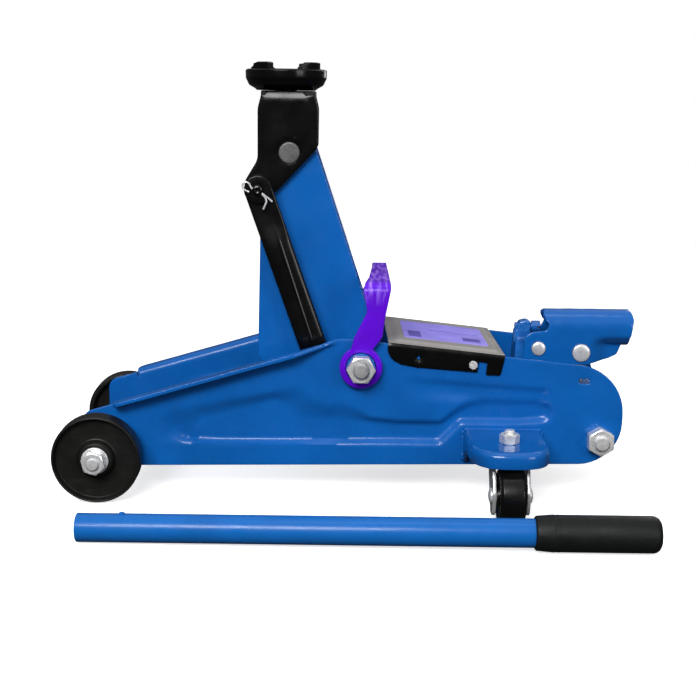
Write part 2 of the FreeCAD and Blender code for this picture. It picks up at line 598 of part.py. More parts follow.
def levelling_links():
    """Pressed links, channel-shaped with the open side inwards and a plain eye at each end."""
    run = number("pin_across")
    rise = number("pin_up - pivot_up")
    span = math.hypot(run, rise)
    body = new_body("link")
    sketch = new_sketch(body, "XY_Plane")
    length = "sqrt(pin_across ^ 2 + (pin_up - pivot_up) ^ 2)"
    slot_outline(sketch, length, "link_half")
    add_feature(body, "Pad", sketch, Length="link_depth")
    DOC.recompute()
    round_edges(body, "link_depth * 0.4", lambda edge: lies_at(edge, "link_depth"))
    hollow = new_sketch(body, "XY_Plane")
    ends = "link_half * 1.6"
    add_polygon(hollow, [
        (ends, "-(link_half - link_wall)"), ("%s - %s" % (length, ends), "-(link_half - link_wall)"),
        ("%s - %s" % (length, ends), "link_half - link_wall"), (ends, "link_half - link_wall")])
    pocket = add_feature(body, "Pocket", hollow, Length="link_depth - link_wall")
    pocket.Reversed = True
    DOC.recompute()
    cut_through(body, "XY_Plane", holes=[("0", "0", "link_pin_radius + link_play"),
                                         (length, "0", "link_pin_radius + link_play")])
    # own X runs from foot to eye, own Z points to the left side
    turn = FreeCAD.Rotation(FreeCAD.Vector(run / span, 0, rise / span),
                            FreeCAD.Vector(rise / span, 0, -run / span),
                            FreeCAD.Vector(0, -1, 0), "ZXY")
    place(body, LINK_FOOT[0], "-link_inner", LINK_FOOT[1], turn)
    keep_sides("link", body)
    at = (LINK_EYE[0], "0", LINK_EYE[1], TO_LEFT)
    pin = turned("link_pin", stepped_profile(
        ("link_pin_radius", "bracket_inner", "link_pin_end")), *at)
    cut_through(pin, "XZ_Plane", [
        ("-link_pin_radius - 1", "link_pin_end - wire_inset - wire_radius - 0.1"),
        ("link_pin_radius + 1", "link_pin_end - wire_inset - wire_radius - 0.1"),
        ("link_pin_radius + 1", "link_pin_end - wire_inset + wire_radius + 0.1"),
        ("-link_pin_radius - 1", "link_pin_end - wire_inset + wire_radius + 0.1")],
        depth="2 * wire_radius + 0.2 + 2 * link_pin_radius * tan(wire_slope * 1 deg)")
    keep_pair("link_pins", pin)
    inner = "(link_inner + link_depth + 0.3)"
    keep_pair("link_washers", turned("link_washer", ring_profile(
        "link_pin_radius", "link_washer_radius", inner, inner + " + link_washer_thick"), *at))


def slot_outline(sketch, length, half):
    """A slot from the origin along the sketch's own X, with round ends."""
    long, radius = number(length), number(half)
    low = (FreeCAD.Vector(0, -radius, 0), FreeCAD.Vector(long, -radius, 0))
    high = (FreeCAD.Vector(long, radius, 0), FreeCAD.Vector(0, radius, 0))
    sketch.addGeometry(Part.LineSegment(*low), False)
    sketch.addGeometry(Part.Arc(low[1], FreeCAD.Vector(long + radius, 0, 0), high[0]), False)
    sketch.addGeometry(Part.LineSegment(*high), False)
    sketch.addGeometry(Part.Arc(high[1], FreeCAD.Vector(-radius, 0, 0), low[0]), False)
    for first, second in (((0, 2), (1, 1)), ((1, 2), (2, 1)), ((2, 2), (3, 1)), ((3, 2), (0, 1))):
        sketch.addConstraint(Sketcher.Constraint("Coincident", *first, *second))
    fix_point(sketch, 0, 1, "0", "-(%s)" % half)
    fix_point(sketch, 0, 2, length, "-(%s)" % half)
    fix_point(sketch, 2, 1, length, half)
    fix_point(sketch, 2, 2, "0", half)
    fix_point(sketch, 1, 3, x=length)
    fix_point(sketch, 3, 3, x="0")


def split_pins():
    """Wire pins through the link pins: an eye on one side and two bent legs on the other."""
    side = "-(link_pin_end - wire_inset)"
    slope = FreeCAD.Rotation(AXES["Y"], 90 + SIZES["wire_slope"])

    def point(along):
        return ("%s + %s * cos(wire_slope * 1 deg)" % (LINK_EYE[0], along), side,
                "%s - %s * sin(wire_slope * 1 deg)" % (LINK_EYE[1], along))

    eye = DOC.addObject("Part::Torus", "wire_eye_ring")
    bind(eye, Radius1="wire_eye", Radius2="wire_radius")
    place(eye, *point("(-wire_reach - wire_eye)"), TO_LEFT)
    pieces = [eye, rod("wire_shank", "wire_radius", "2 * wire_reach", *point("(-wire_reach)"), slope)]
    for name, angle in (("wire_leg_up", 37), ("wire_leg_down", 174)):
        turn = FreeCAD.Rotation(AXES["Y"], angle)
        pieces.append(rod(name, "wire_radius", "wire_reach", *point("(wire_reach - 0.3)"), turn))
    keep_pair("split_pins", fused("split_pin", *pieces))


def saddle_bracket():
    """Channel that carries the saddle, with ears for the levelling links."""
    ear = 11
    x, z = number(LINK_EYE[0]), number(LINK_EYE[1])
    outline = [
        ("bracket_front + 2", "bracket_top"), ("bracket_rear - 2", "bracket_top"),
        ("bracket_rear", "bracket_top - 14"), ("bracket_rear", "pin_up + 5"),
        ("%s + 7" % LINK_EYE[0], "%s - 9" % LINK_EYE[1]), (LINK_EYE[0] + " - 2", LINK_EYE[1] + " - 11"),
        (LINK_EYE[0] + " - 11", LINK_EYE[1] + " - 4"), (LINK_EYE[0] + " - 10.5", LINK_EYE[1] + " + 6"),
        ("bracket_front", "pin_up - 6"), ("bracket_front", "bracket_top - 10")]
    body = plate_body("saddle_bracket", "XZ_Plane", outline, "-(bracket_inner + bracket_thick)",
                      "2 * (bracket_inner + bracket_thick)")
    round_edges(body, "5", lambda edge: runs_along("Y")(edge) and math.hypot(
        edge.CenterOfMass.x - x, edge.CenterOfMass.z - z) < ear + 4)
    hollow = [("-200", "bracket_top - bracket_thick"), ("50", "bracket_top - bracket_thick"),
              ("50", "pin_up - 80"), ("-200", "pin_up - 80")]
    cut_through(body, "XZ_Plane", hollow, depth="2 * bracket_inner")
    cut_through(body, "XZ_Plane", holes=[PIN + ("arm_pin_radius",),
                                         LINK_EYE + ("link_pin_radius",)])
    cut_through(body, "XY_Plane", holes=[("saddle_across", "0", "stem_radius + 0.1")],
                near="bracket_top + 1", both_ways=False, depth="bracket_thick + 3")
    keep("saddle_bracket", body)
    keep("arm_pin", rod("arm_pin", "arm_pin_radius", "2 * arm_pin_half",
                        "pin_across", "arm_pin_half", "pin_up", TO_LEFT))


def saddle():
    """Dished saddle on a stem, with four raised lugs around its rim."""
    dish = turned("saddle", [
        ("0", "stem_low"), ("stem_radius", "stem_low"), ("stem_radius", "bracket_top + 0.2"),
        ("saddle_hub", "bracket_top + 0.2"), ("saddle_hub", "saddle_floor"),
        ("saddle_radius - 7", "saddle_floor"), ("saddle_radius - 2", "saddle_floor + 3.5"),
        ("saddle_radius", "saddle_floor + 8"), ("saddle_radius", "saddle_rim"),
        ("saddle_radius - 4", "saddle_rim"), ("saddle_radius - 7", "saddle_rim - 6"),
        ("0", "saddle_rim - 6")])
    add_pad(dish, "XY_Plane", [
        ("saddle_radius - 13", "-6"), ("saddle_radius - 2.5", "-6.5"), ("saddle_radius - 2.5", "6.5"),
        ("saddle_radius - 13", "6")], "saddle_rim - 6.5", "lug_top - saddle_rim + 6.5")
    lug = dish.Tip
    pattern = dish.newObject("PartDesign::PolarPattern", "lugs")
    pattern.Originals = [lug]
    pattern.Axis = (next(a for a in dish.Origin.OriginFeatures if a.Role == "Z_Axis"), [""])
    pattern.Angle = 360
    pattern.Occurrences = 4
    dish.Tip = pattern
    turn = FreeCAD.Rotation(AXES["Z"], 45)
    keep("saddle", place(dish, "saddle_across", "0", "0", turn))
    keep("saddle_circlip", turned("saddle_circlip", ring_profile(
        "stem_radius", "circlip_radius", "circlip_up", "circlip_up + circlip_thick"),
        "saddle_across", "0", "0"))


# ---------------------------------------------------------------- hydraulic unit
def hydraulic_unit():
    outline = [
        ("block_front", "block_low"), ("block_rear - 6", "block_low"), ("block_rear", "block_low + 6"),
        ("block_rear", "rear_bolt_up + 10"), ("block_rear - 7", "rear_bolt_up + 18"),
        ("block_rear - 7", "block_top"), ("block_front", "block_top")]
    block = plate_body("pump_block", "XZ_Plane", outline, "-block_half", "2 * block_half")
    round_edges(block, "3", lambda edge: runs_along("X")(edge) or runs_along("Y")(edge))
    cut_through(block, "XZ_Plane", holes=[("rear_bolt_across", "rear_bolt_up", "rear_bolt_radius")])
    # the bore's sketch faces +X, so its hollow is cut towards the rear
    mouth = new_sketch(block, "YZ_Plane", "block_front - 1")
    add_circle(mouth, "0", "ram_up", "bore_radius")
    pocket = add_feature(block, "Pocket", mouth, Length="block_bore_end - block_front + 1")
    pocket.Reversed = True
    DOC.recompute()
    cut_through(block, "XY_Plane", holes=[("plunger_across", "0", "plunger_radius + fit_play")],
                near="block_top + 1", both_ways=False, depth="block_top + 1 - barrel_low")
    keep("pump_block", block)
    axis = ("0", "0", "ram_up", ALONG_X)
    keep("reservoir_tube", turned("reservoir_tube", ring_profile(
        "reservoir_radius - reservoir_wall", "reservoir_radius", "gland_rear", "block_front"), *axis))
    keep("cylinder_tube", turned("cylinder_tube", ring_profile(
        "bore_radius", "cylinder_radius", "gland_rear", "block_front"), *axis))
    keep("gland_nut", turned("gland_nut", ring_profile(
        "ram_radius + fit_play", "reservoir_radius", "gland_front", "gland_rear"), *axis))
    face = "(%s + roller_radius + ram_gap)" % CRANK[0]
    tail = "(%s + ram_length)" % face
    keep("ram", turned("ram", stepped_profile(
        ("head_radius", face, face + " + head_thick"),
        ("ram_radius", face + " + head_thick", tail + " - piston_thick"),
        ("piston_radius", tail + " - piston_thick", tail)), *axis))
    plug = [("5", "0", "5"), ("7", "5", "8")]
    keep("filler_plug", turned("filler_plug", stepped_profile(*plug), "block_front + 18", "-22",
                               "block_top"))


def pump_lug():
    """Upright cast lug on the block: it holds the socket's pivot pin and the release valve."""
    foot = [
        ("lug_front", "block_top"), ("yoke_across + 10", "block_top"),
        ("yoke_across + 10", "yoke_up - 3"), ("yoke_across + 7.1", "yoke_up + 3.4"),
        ("yoke_across + 4.3", "yoke_up + 8"),
        ("lug_front + 2", "yoke_up + 8")]
    lug = plate_body("pump_lug", "XZ_Plane", foot, "-lug_half", "2 * lug_half")
    crest = [
        ("lug_front + 0.6", "yoke_up"), ("lug_front + 1", "yoke_up + 12"),
        ("lug_front + 5", "yoke_up + 20"), ("lug_front + 11", "yoke_up + 21.2"),
        ("lug_front + 14.5", "yoke_up + 20"), ("lug_front + 15", "yoke_up")]
    add_pad(lug, "XZ_Plane", crest, "-crest_half", "2 * crest_half")
    round_edges(lug, "1.5", lambda edge: runs_along("Y")(edge)
                and edge.CenterOfMass.z > number("yoke_up") + 13)
    cut_through(lug, "XZ_Plane", holes=[("yoke_across", "yoke_up", "yoke_pin_radius + fit_play")])
    cut_through(lug, "YZ_Plane", holes=[("0", "socket_up", "valve_radius + fit_play")],
                near="lug_front - 5", both_ways=True, depth="60")
    keep("pump_lug", lug)
    face = "(lug_front + 15)"
    shoulder = face + " + 0.5"
    valve = turned("release_valve", stepped_profile(
        ("valve_radius", "lug_front + 2", shoulder), ("dog_radius", shoulder, face + " + 7")),
        "0", "0", "socket_up", ALONG_X)
    cut_through(valve, "XZ_Plane", [
        ("-1.2", face + " + 4.5"), ("1.2", face + " + 4.5"),
        ("1.2", face + " + 20"), ("-1.2", face + " + 20")])
    keep("release_valve", valve)


def pump():
    """Plunger pressed down by the socket's roller, pushed up again by a coil spring."""
    cap_top = "(press_up - press_roller_radius - 0.35)"
    cap_low = "(%s - plunger_cap_thick)" % cap_top
    keep("plunger", turned("plunger", stepped_profile(
        ("plunger_radius", "plunger_low", cap_low), ("plunger_cap_radius", cap_low, cap_top)),
        "plunger_across", "0", "0"))
    low, wire = number("block_top + 0.2"), number("spring_wire")
    high = number(cap_low) - 0.2
    pitch = (high - low - 2 * wire) / number("spring_turns")
    path = Part.makeHelix(pitch, high - low - 2 * wire, number("spring_radius"))
    path.translate(FreeCAD.Vector(0, 0, low + wire))
    start = path.Edges[0].valueAt(path.Edges[0].FirstParameter)
    section = Part.Wire(Part.makeCircle(wire, start, FreeCAD.Vector(0, 1, 0)))
    spring = DOC.addObject("Part::Feature", "pump_spring")
    spring.Shape = Part.Wire(path.Edges).makePipeShell([section], True, True)
    place(spring, "plunger_across", "0", "0")
    keep("pump_spring", spring)


def handle_socket():
    """Arched socket for the handle, with two cheeks below it that carry the pins."""
    outer = "(socket_bore + socket_wall)"
    body = new_body("handle_socket")
    sketch = new_sketch(body, "XZ_Plane", "-" + outer)
    add_polygon(sketch, [
        ("yoke_front", "yoke_low + 3"), ("yoke_front", "yoke_up + 12"),
        ("socket_front + 4", "yoke_up + 12.5"), ("socket_front", "socket_up + 3"),
        ("socket_front", "socket_up + 15"), ("socket_rear", "socket_up + 15"),
        ("socket_rear", "socket_up - 5"), ("socket_rear - 6", "socket_up - 15"),
        ("socket_rear - 16", "yoke_low + 5"), ("socket_rear - 34", "yoke_low"),
        ("yoke_front + 4", "yoke_low")])
    add_feature(body, "Pad", sketch, Length="2 * " + outer)
    DOC.recompute()
    corner_cut(body, outer)
    inner = new_sketch(body, "YZ_Plane", "yoke_front - 5")
    add_circle(inner, "0", "socket_up", "socket_bore")
    pocket = add_feature(body, "Pocket", inner, Length="120")
    pocket.Reversed = True
    DOC.recompute()
    slot = new_sketch(body, "YZ_Plane", "yoke_front - 5")
    add_polygon(slot, [("-socket_bore", "yoke_low - 10"), ("socket_bore", "yoke_low - 10"),
                       ("socket_bore", "socket_up"), ("-socket_bore", "socket_up")])
    pocket = add_feature(body, "Pocket", slot, Length="socket_closed - yoke_front + 5")
    pocket.Reversed = True
    DOC.recompute()
    round_edges(body, "4", runs_along("Y", x="yoke_front", z="yoke_up + 12"))
    cut_through(body, "XZ_Plane", holes=[("yoke_across", "yoke_up", "yoke_pin_radius"),
                                         ("press_across", "press_up", "press_pin_radius")])
    keep("handle_socket", body)
    half = "(%s + pin_proud)" % outer
    keep("socket_pivot_pin", rod("socket_pivot_pin", "yoke_pin_radius", "2 * " + half,
                                 "yoke_across", half, "yoke_up", TO_LEFT))
    shoulder = "(press_roller_half + 0.5)"
    keep("socket_press_pin", turned("socket_press_pin", stepped_profile(
        ("press_pin_radius", "-" + half, "-" + shoulder),
        ("press_neck_radius", "-" + shoulder, shoulder), ("press_pin_radius", shoulder, half)),
        "press_across", "0", "press_up", TO_LEFT))
    keep("press_roller", turned("press_roller", ring_profile(
        "press_neck_radius + fit_play", "press_roller_radius",
        "-press_roller_half", "press_roller_half"), "press_across", "0", "press_up", TO_LEFT))


def corner_cut(body, outer):
    """Round the top of the socket to the arch's radius."""
    for side in (-1, 1):
        sign = "-" if side < 0 else ""
        sketch = new_sketch(body, "YZ_Plane", "yoke_front - 5")
        radius = number(outer)
        up = number("socket_up")
        start = FreeCAD.Vector(side * radius, up, 0)
        top = FreeCAD.Vector(0, up + radius, 0)
        middle = FreeCAD.Vector(side * radius * math.sqrt(0.5), up + radius * math.sqrt(0.5), 0)
        far = FreeCAD.Vector(side * (radius + 3), up + radius + 4, 0)
        sketch.addGeometry(Part.Arc(start, middle, top), False)
        corners = [top, FreeCAD.Vector(0, far.y, 0), far, FreeCAD.Vector(far.x, up, 0), start]
        for first, second in zip(corners, corners[1:]):
            sketch.addGeometry(Part.LineSegment(first, second), False)
        ends = {1: ("0", "socket_up + " + outer), 2: ("0", "socket_up + %s + 4" % outer),
                3: ("%s(%s + 3)" % (sign, outer), "socket_up + %s + 4" % outer),
                4: ("%s(%s + 3)" % (sign, outer), "socket_up")}
        for index, point in ends.items():
            fix_point(sketch, index, 1, *point)
        fix_point(sketch, 4, 2, "%s%s" % (sign, outer), "socket_up")
        for first in (1, 2, 3):
            sketch.addConstraint(Sketcher.Constraint("Coincident", first, 2, first + 1, 1))
        first_end, last_end = (2, 1) if side > 0 else (1, 2)
        sketch.addConstraint(Sketcher.Constraint("Coincident", 0, first_end, 1, 1))
        sketch.addConstraint(Sketcher.Constraint("Coincident", 0, last_end, 4, 2))
        fix_point(sketch, 0, 3, "0")
        pocket = add_feature(body, "Pocket", sketch, Length="120")
        pocket.Reversed = True
        DOC.recompute()


# ---------------------------------------------------------------- carry handle and loose handle
def carry_handle():
    """Flat strip bent to a U across the frame, with a ring at each end round the pivot collars."""
    leg = [("-3", "pivot_up + 14"), ("-3", "pivot_up + 29.5"), ("bail_front", "pivot_up + 46"),
           ("bail_front", "bail_top"), ("bail_rear", "bail_top"), ("bail_rear - 4", "pivot_up + 42"),
           ("16.5", "pivot_up + 26"), ("13", "pivot_up + 7")]
    body = plate_body("carry_handle", "XZ_Plane", leg, "bail_inner", "bail_thick")
    for near in ("-(bail_inner + bail_thick)", "bail_inner"):
        ring = new_sketch(body, "XZ_Plane", near)
        add_circle(ring, *PIVOT, "bail_ring")
        add_feature(body, "Pad", ring, Length="bail_thick")
        DOC.recompute()
        if near.startswith("-"):
            add_pad(body, "XZ_Plane", leg, near, "bail_thick")
            add_pad(body, "XZ_Plane", [
                ("bail_front", "bail_top - bail_thick"), ("bail_front", "bail_top"),
                ("bail_rear", "bail_top"), ("bail_rear", "bail_top - bail_thick")],
                near, "2 * (bail_inner + bail_thick)")
    cut_through(body, "XZ_Plane", holes=[PIVOT + ("bail_hole",)])
    round_edges(body, "5", lambda edge: runs_along("X")(edge)
                and abs(edge.CenterOfMass.z - number("bail_top")) < 0.01)
    keep("carry_handle", body)


def loose_handle():
    """Steel tube with a moulded grip, lying on the floor at the jack's left side."""
    yaw = FreeCAD.Rotation(AXES["Z"], SIZES["bar_yaw"])
    tilt = FreeCAD.Rotation(AXES["Y"], SIZES["bar_tilt"])
    lie = yaw.multiply(tilt).multiply(ALONG_X)
    at = ("bar_left", "bar_left_side", "bar_radius + 0.05", lie)
    bar = turned("handle_bar", ring_profile(
        "bar_radius - bar_wall", "bar_radius", "0", "bar_length"), *at)
    cut_through(bar, "YZ_Plane", holes=[("0", "button_along", "button_radius")],
                near="0", both_ways=False, depth="bar_radius + 1")
    keep("handle_bar", bar)
    full = "grip_start + grip_length"
    keep("handle_grip", turned("handle_grip", [
        ("bar_radius", "grip_start"), ("bar_radius + 1.4", "grip_start"),
        ("grip_radius - 1", "grip_start + grip_collar"), ("grip_radius", "grip_start + grip_collar + 4"),
        ("grip_radius", full + " - 5"), ("grip_radius - 4", full), ("0", full),
        ("0", "bar_length"), ("bar_radius", "bar_length")], *at))
    level = "button_along * cos(bar_tilt * 1 deg)"
    button = turned("handle_button", stepped_profile(
        ("button_radius", "bar_radius - 1", "bar_radius + 1.5")),
        "bar_left + %s * cos(bar_yaw * 1 deg)" % level,
        "bar_left_side + %s * sin(bar_yaw * 1 deg)" % level,
        "bar_radius + 0.05 - button_along * sin(bar_tilt * 1 deg)", yaw.multiply(tilt))
    keep("handle_button", button)


def check_and_export():
    DOC.recompute()
    for item in DOC.Objects:
        if "Invalid" in item.State or "Error" in item.State:
            raise RuntimeError("%s is in state %s" % (item.Name, item.State))
    os.makedirs("parts", exist_ok=True)
    for label, item in SUB_PARTS.items():
        if item.Shape.isNull() or not item.Shape.isValid():
            raise RuntimeError("%s has no valid shape" % label)
        item.Shape.exportStep("parts/%s.step" % label)
    print("%d sub-parts written" % len(SUB_PARTS))


side_plates()
front_cross_plate()
wheel_fixings()
main_pivot()
link_studs()
rear_cross_bolt()
cover()
front_wheels()
castor_brackets()
castor_fixings()
castors()
lift_arm()
levelling_links()
split_pins()
saddle_bracket()
saddle()
hydraulic_unit()
pump_lug()
pump()
handle_socket()
carry_handle()
loose_handle()
check_and_export()
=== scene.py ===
"""Looks of a small hydraulic trolley jack and its loose pumping handle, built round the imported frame.

Shapes are given in millimetres in the row frame and scaled to metres when a mesh is made.
"""
import json
import math

import bmesh
import bpy
import numpy as np
from mathutils import Matrix, Vector, geometry, noise


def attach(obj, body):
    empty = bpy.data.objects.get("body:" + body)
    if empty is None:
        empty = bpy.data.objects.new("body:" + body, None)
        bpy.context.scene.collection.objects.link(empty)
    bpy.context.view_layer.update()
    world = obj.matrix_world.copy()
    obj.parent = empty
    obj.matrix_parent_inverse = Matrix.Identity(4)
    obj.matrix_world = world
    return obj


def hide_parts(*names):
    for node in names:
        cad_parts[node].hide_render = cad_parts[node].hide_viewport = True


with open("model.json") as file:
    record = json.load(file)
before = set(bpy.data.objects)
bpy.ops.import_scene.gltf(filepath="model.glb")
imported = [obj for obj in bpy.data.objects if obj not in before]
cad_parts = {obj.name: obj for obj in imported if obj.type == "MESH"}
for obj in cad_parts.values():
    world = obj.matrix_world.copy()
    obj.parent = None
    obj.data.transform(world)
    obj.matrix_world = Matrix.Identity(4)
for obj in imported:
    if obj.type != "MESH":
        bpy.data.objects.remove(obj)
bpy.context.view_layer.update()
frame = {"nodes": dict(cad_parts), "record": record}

MM = 0.001
SCENE = bpy.context.scene
NODES = frame["nodes"]

# main centres of the jack, from the frame: x and z in millimetres
PIVOT = (0.0, 103.0)
ARM_PIN = (-56.1, 261.1)
LINK_FOOT = (-23.1, 75.6)
LINK_EYE = (-79.2, 233.7)
WHEEL = (-198.5, 33.5)
REAR_BOLT = (184.3, 47.3)
CASTOR = (109.5, -96.0)
TRAIL = 17.0
PLATE_FACE = 57.0


# ---------------------------------------------------------------- camera, light and floor
def add_camera():
    data = bpy.data.cameras.new("camera")
    data.lens = 63.757
    data.sensor_width = 36.0
    data.clip_start, data.clip_end = 0.05, 30.0
    camera = bpy.data.objects.new("camera", data)
    right = Vector((0.999867, -0.008218, 0.014087))
    ahead = Vector((0.010857, 0.979960, -0.198898)).normalized()
    up = right.cross(ahead).normalized()
    right = ahead.cross(up)
    rows = Matrix((right, up, -ahead)).transposed().to_4x4()
    rows.translation = Vector((-20.05, -973.64, 302.16)) * MM
    camera.matrix_world = rows
    SCENE.collection.objects.link(camera)
    SCENE.camera = camera


def add_softbox(name, spot, aim, width, height, watts, shine=1.0):
    data = bpy.data.lights.new(name, "AREA")
    data.shape = "RECTANGLE"
    data.size, data.size_y = width, height
    data.energy = watts
    data.specular_factor = shine
    lamp = bpy.data.objects.new(name, data)
    lamp.location = spot
    lamp.rotation_mode = "QUATERNION"
    lamp.rotation_quaternion = (Vector(aim) - Vector(spot)).to_track_quat("-Z", "Y")
    SCENE.collection.objects.link(lamp)


def add_world():
    world = bpy.data.worlds.new("studio")
    world.use_nodes = True
    SCENE.world = world
    tree = world.node_tree
    shade = tree.nodes["Background"]
    where = tree.nodes.new("ShaderNodeTexCoord")
    split = tree.nodes.new("ShaderNodeSeparateXYZ")
    ramp = tree.nodes.new("ShaderNodeValToRGB")
    stops = ramp.color_ramp.elements
    stops[0].position, stops[0].color = 0.0, (0.05, 0.05, 0.05, 1)
    stops[1].position, stops[1].color = 1.0, (0.60, 0.60, 0.61, 1)
    for place, value in ((0.42, 0.04), (0.50, 0.10), (0.56, 0.05), (0.72, 0.14), (0.84, 0.50)):
        stop = stops.new(place)
        stop.color = (value, value, value * 1.01, 1)
    half = tree.nodes.new("ShaderNodeMapRange")
    half.inputs["From Min"].default_value = -1.0
    seen = tree.nodes.new("ShaderNodeLightPath")
    mix = tree.nodes.new("ShaderNodeMix")
    mix.data_type = "RGBA"
    mix.inputs["B"].default_value = (1, 1, 1, 1)
    tree.links.new(where.outputs["Generated"], split.inputs[0])
    tree.links.new(split.outputs["Z"], half.inputs["Value"])
    tree.links.new(half.outputs[0], ramp.inputs[0])
    tree.links.new(seen.outputs["Is Camera Ray"], mix.inputs["Factor"])
    tree.links.new(ramp.outputs[0], mix.inputs["A"])
    tree.links.new(mix.outputs["Result"], shade.inputs["Color"])


def add_floor():
    bm = bmesh.new()
    corners = ((-3.0, -3.0), (3.0, -3.0), (3.0, 1.6), (-3.0, 1.6))
    bm.faces.new([bm.verts.new((x, y, -0.0004)) for x, y in corners])
    mesh = bpy.data.meshes.new("floor")
    bm.to_mesh(mesh)
    bm.free()
    floor = bpy.data.objects.new("floor", mesh)
    SCENE.collection.objects.link(floor)
    pale = bpy.data.materials.new("pale_floor")
    pale.use_nodes = True
    shader = pale.node_tree.nodes["Principled BSDF"]
    shader.inputs["Base Color"].default_value = (0.90, 0.90, 0.90, 1)
    shader.inputs["Roughness"].default_value = 0.9
    shader.inputs["Emission Color"].default_value = (1, 1, 1, 1)
    shader.inputs["Emission Strength"].default_value = 0.68
    mesh.materials.append(pale)
    floor.visible_glossy = False
    floor.visible_diffuse = False


# ---------------------------------------------------------------- materials
class Finish:
    """A Principled material with small helpers for its procedural nodes."""

    def __init__(self, name, metallic=0.0, **sockets):
        self.material = bpy.data.materials.new(name)
        self.material.use_nodes = True
        self.tree = self.material.node_tree
        self.shader = self.tree.nodes["Principled BSDF"]
        self.shader.inputs["Metallic"].default_value = metallic
        for socket, value in sockets.items():
            self.shader.inputs[socket.replace("_", " ")].default_value = value
        self.place = self.tree.nodes.new("ShaderNodeTexCoord").outputs["Object"]

    def node(self, kind, **inputs):
        node = self.tree.nodes.new("ShaderNode" + kind)
        for name, value in inputs.items():
            self.feed(node.inputs[name.replace("_", " ")], value)
        return node

    def feed(self, socket, value):
        if isinstance(value, bpy.types.NodeSocket):
            self.tree.links.new(value, socket)
        else:
            socket.default_value = value

    def grain(self, scale, detail=3.0, stretch=None, shift=0.0):
        where = self.place
        if stretch or shift:
            move = self.node("Mapping", Vector=where, Scale=stretch or (1, 1, 1),
                             Location=(shift, shift, shift))
            where = move.outputs[0]
        return self.node("TexNoise", Vector=where, Scale=scale, Detail=detail).outputs[0]

    def ramp(self, value, *stops):
        node = self.node("ValToRGB", Fac=value)
        marks = node.color_ramp.elements
        while len(marks) < len(stops):
            marks.new(0.5)
        for mark, (place, colour) in zip(marks, stops):
            mark.position = place
            mark.color = (*colour, 1) if len(colour) == 3 else colour
        return node.outputs[0]

    def spread(self, value, low, high):
        node = self.node("MapRange", Value=value)
        node.inputs["From Min"].default_value = 0.3
        node.inputs["From Max"].default_value = 0.7
        node.inputs["To Min"].default_value = low
        node.inputs["To Max"].default_value = high
        return node.outputs[0]

    def mask(self, value, low, high):
        return self.ramp(value, (low, (0, 0, 0)), (high, (1, 1, 1)))

    def mix(self, factor, first, second):
        node = self.node("Mix")
        node.data_type = "RGBA"
        self.feed(node.inputs[0], factor)
        self.feed(node.inputs[6], first)
        self.feed(node.inputs[7], second)
        return node.outputs[2]

    def bump(self, height, strength, depth, below=None):
        node = self.node("Bump", Height=height, Strength=strength, Distance=depth)
        if below:
            self.tree.links.new(below, node.inputs["Normal"])
        return node.outputs[0]

    def finish(self, colour, roughness, normal=None):
        self.feed(self.shader.inputs["Base Color"], colour)
        self.feed(self.shader.inputs["Roughness"], roughness)
        if normal:
            self.feed(self.shader.inputs["Normal"], normal)
        return self.material


def tint(colour, factor):
    return tuple(min(1.0, c * factor) for c in colour)


def enamel(name, colour, low, high, peel=0.05, chip=None, chip_at=0.74, coat=0.12):
    """Sprayed gloss paint: faint mottling, orange peel, runs, and small chips where asked."""
    paint = Finish(name, Coat_Weight=coat, Coat_Roughness=0.08, Specular_IOR_Level=0.22)
    tone = paint.ramp(paint.grain(26, 5), (0.25, tint(colour, 0.86)), (0.5, colour),
                      (0.75, tint(colour, 1.12)))
    rough = paint.spread(paint.grain(70, 4, shift=3.0), low, high)
    runs = paint.bump(paint.grain(38, 2, shift=7.0), 0.35, 0.0009)
    skin = paint.bump(paint.grain(420, 2), peel, 0.0006, runs)
    if chip:
        spots = paint.mask(paint.grain(170, 6, shift=1.7), chip_at, chip_at + 0.015)
        tone = paint.mix(spots, tone, (*chip, 1))
        skin = paint.bump(spots, -0.4, 0.0002, skin)
    return paint.finish(tone, rough, skin)


def zinc(name, bright, low, high, warm=0.0):
    """Plated steel: cloudy brightness, a faint blue and straw cast, fine scratches."""
    metal = Finish(name, metallic=0.55)
    tone = metal.ramp(metal.grain(90, 4), (0.3, (bright * 0.72, bright * 0.73, bright * 0.76)),
                      (0.55, (bright, bright, bright)),
                      (0.75, (bright, bright * (1 - warm), bright * (1 - 2 * warm))))
    rough = metal.spread(metal.grain(240, 5, shift=2.0), low, high)
    marks = metal.grain(60, 6, stretch=(40, 6, 40), shift=5.0)
    return metal.finish(tone, rough, metal.bump(marks, 0.12, 0.0002))


def moulded(name, colour, low, high, grit, depth, coat=0.0):
    """Moulded plastic or rubber with a fine skin and a few scuffs."""
    plastic = Finish(name, Coat_Weight=coat, Coat_Roughness=0.15, Specular_IOR_Level=0.22)
    scuff = plastic.mask(plastic.grain(55, 8, stretch=(1, 1, 3)), 0.60, 0.78)
    tone = plastic.mix(scuff, (*colour, 1), (*tint(colour, 2.2), 1))
    rough = plastic.spread(plastic.grain(120, 4, shift=4.0), low, high)
    return plastic.finish(tone, rough, plastic.bump(plastic.grain(grit, 3), 0.5, depth))


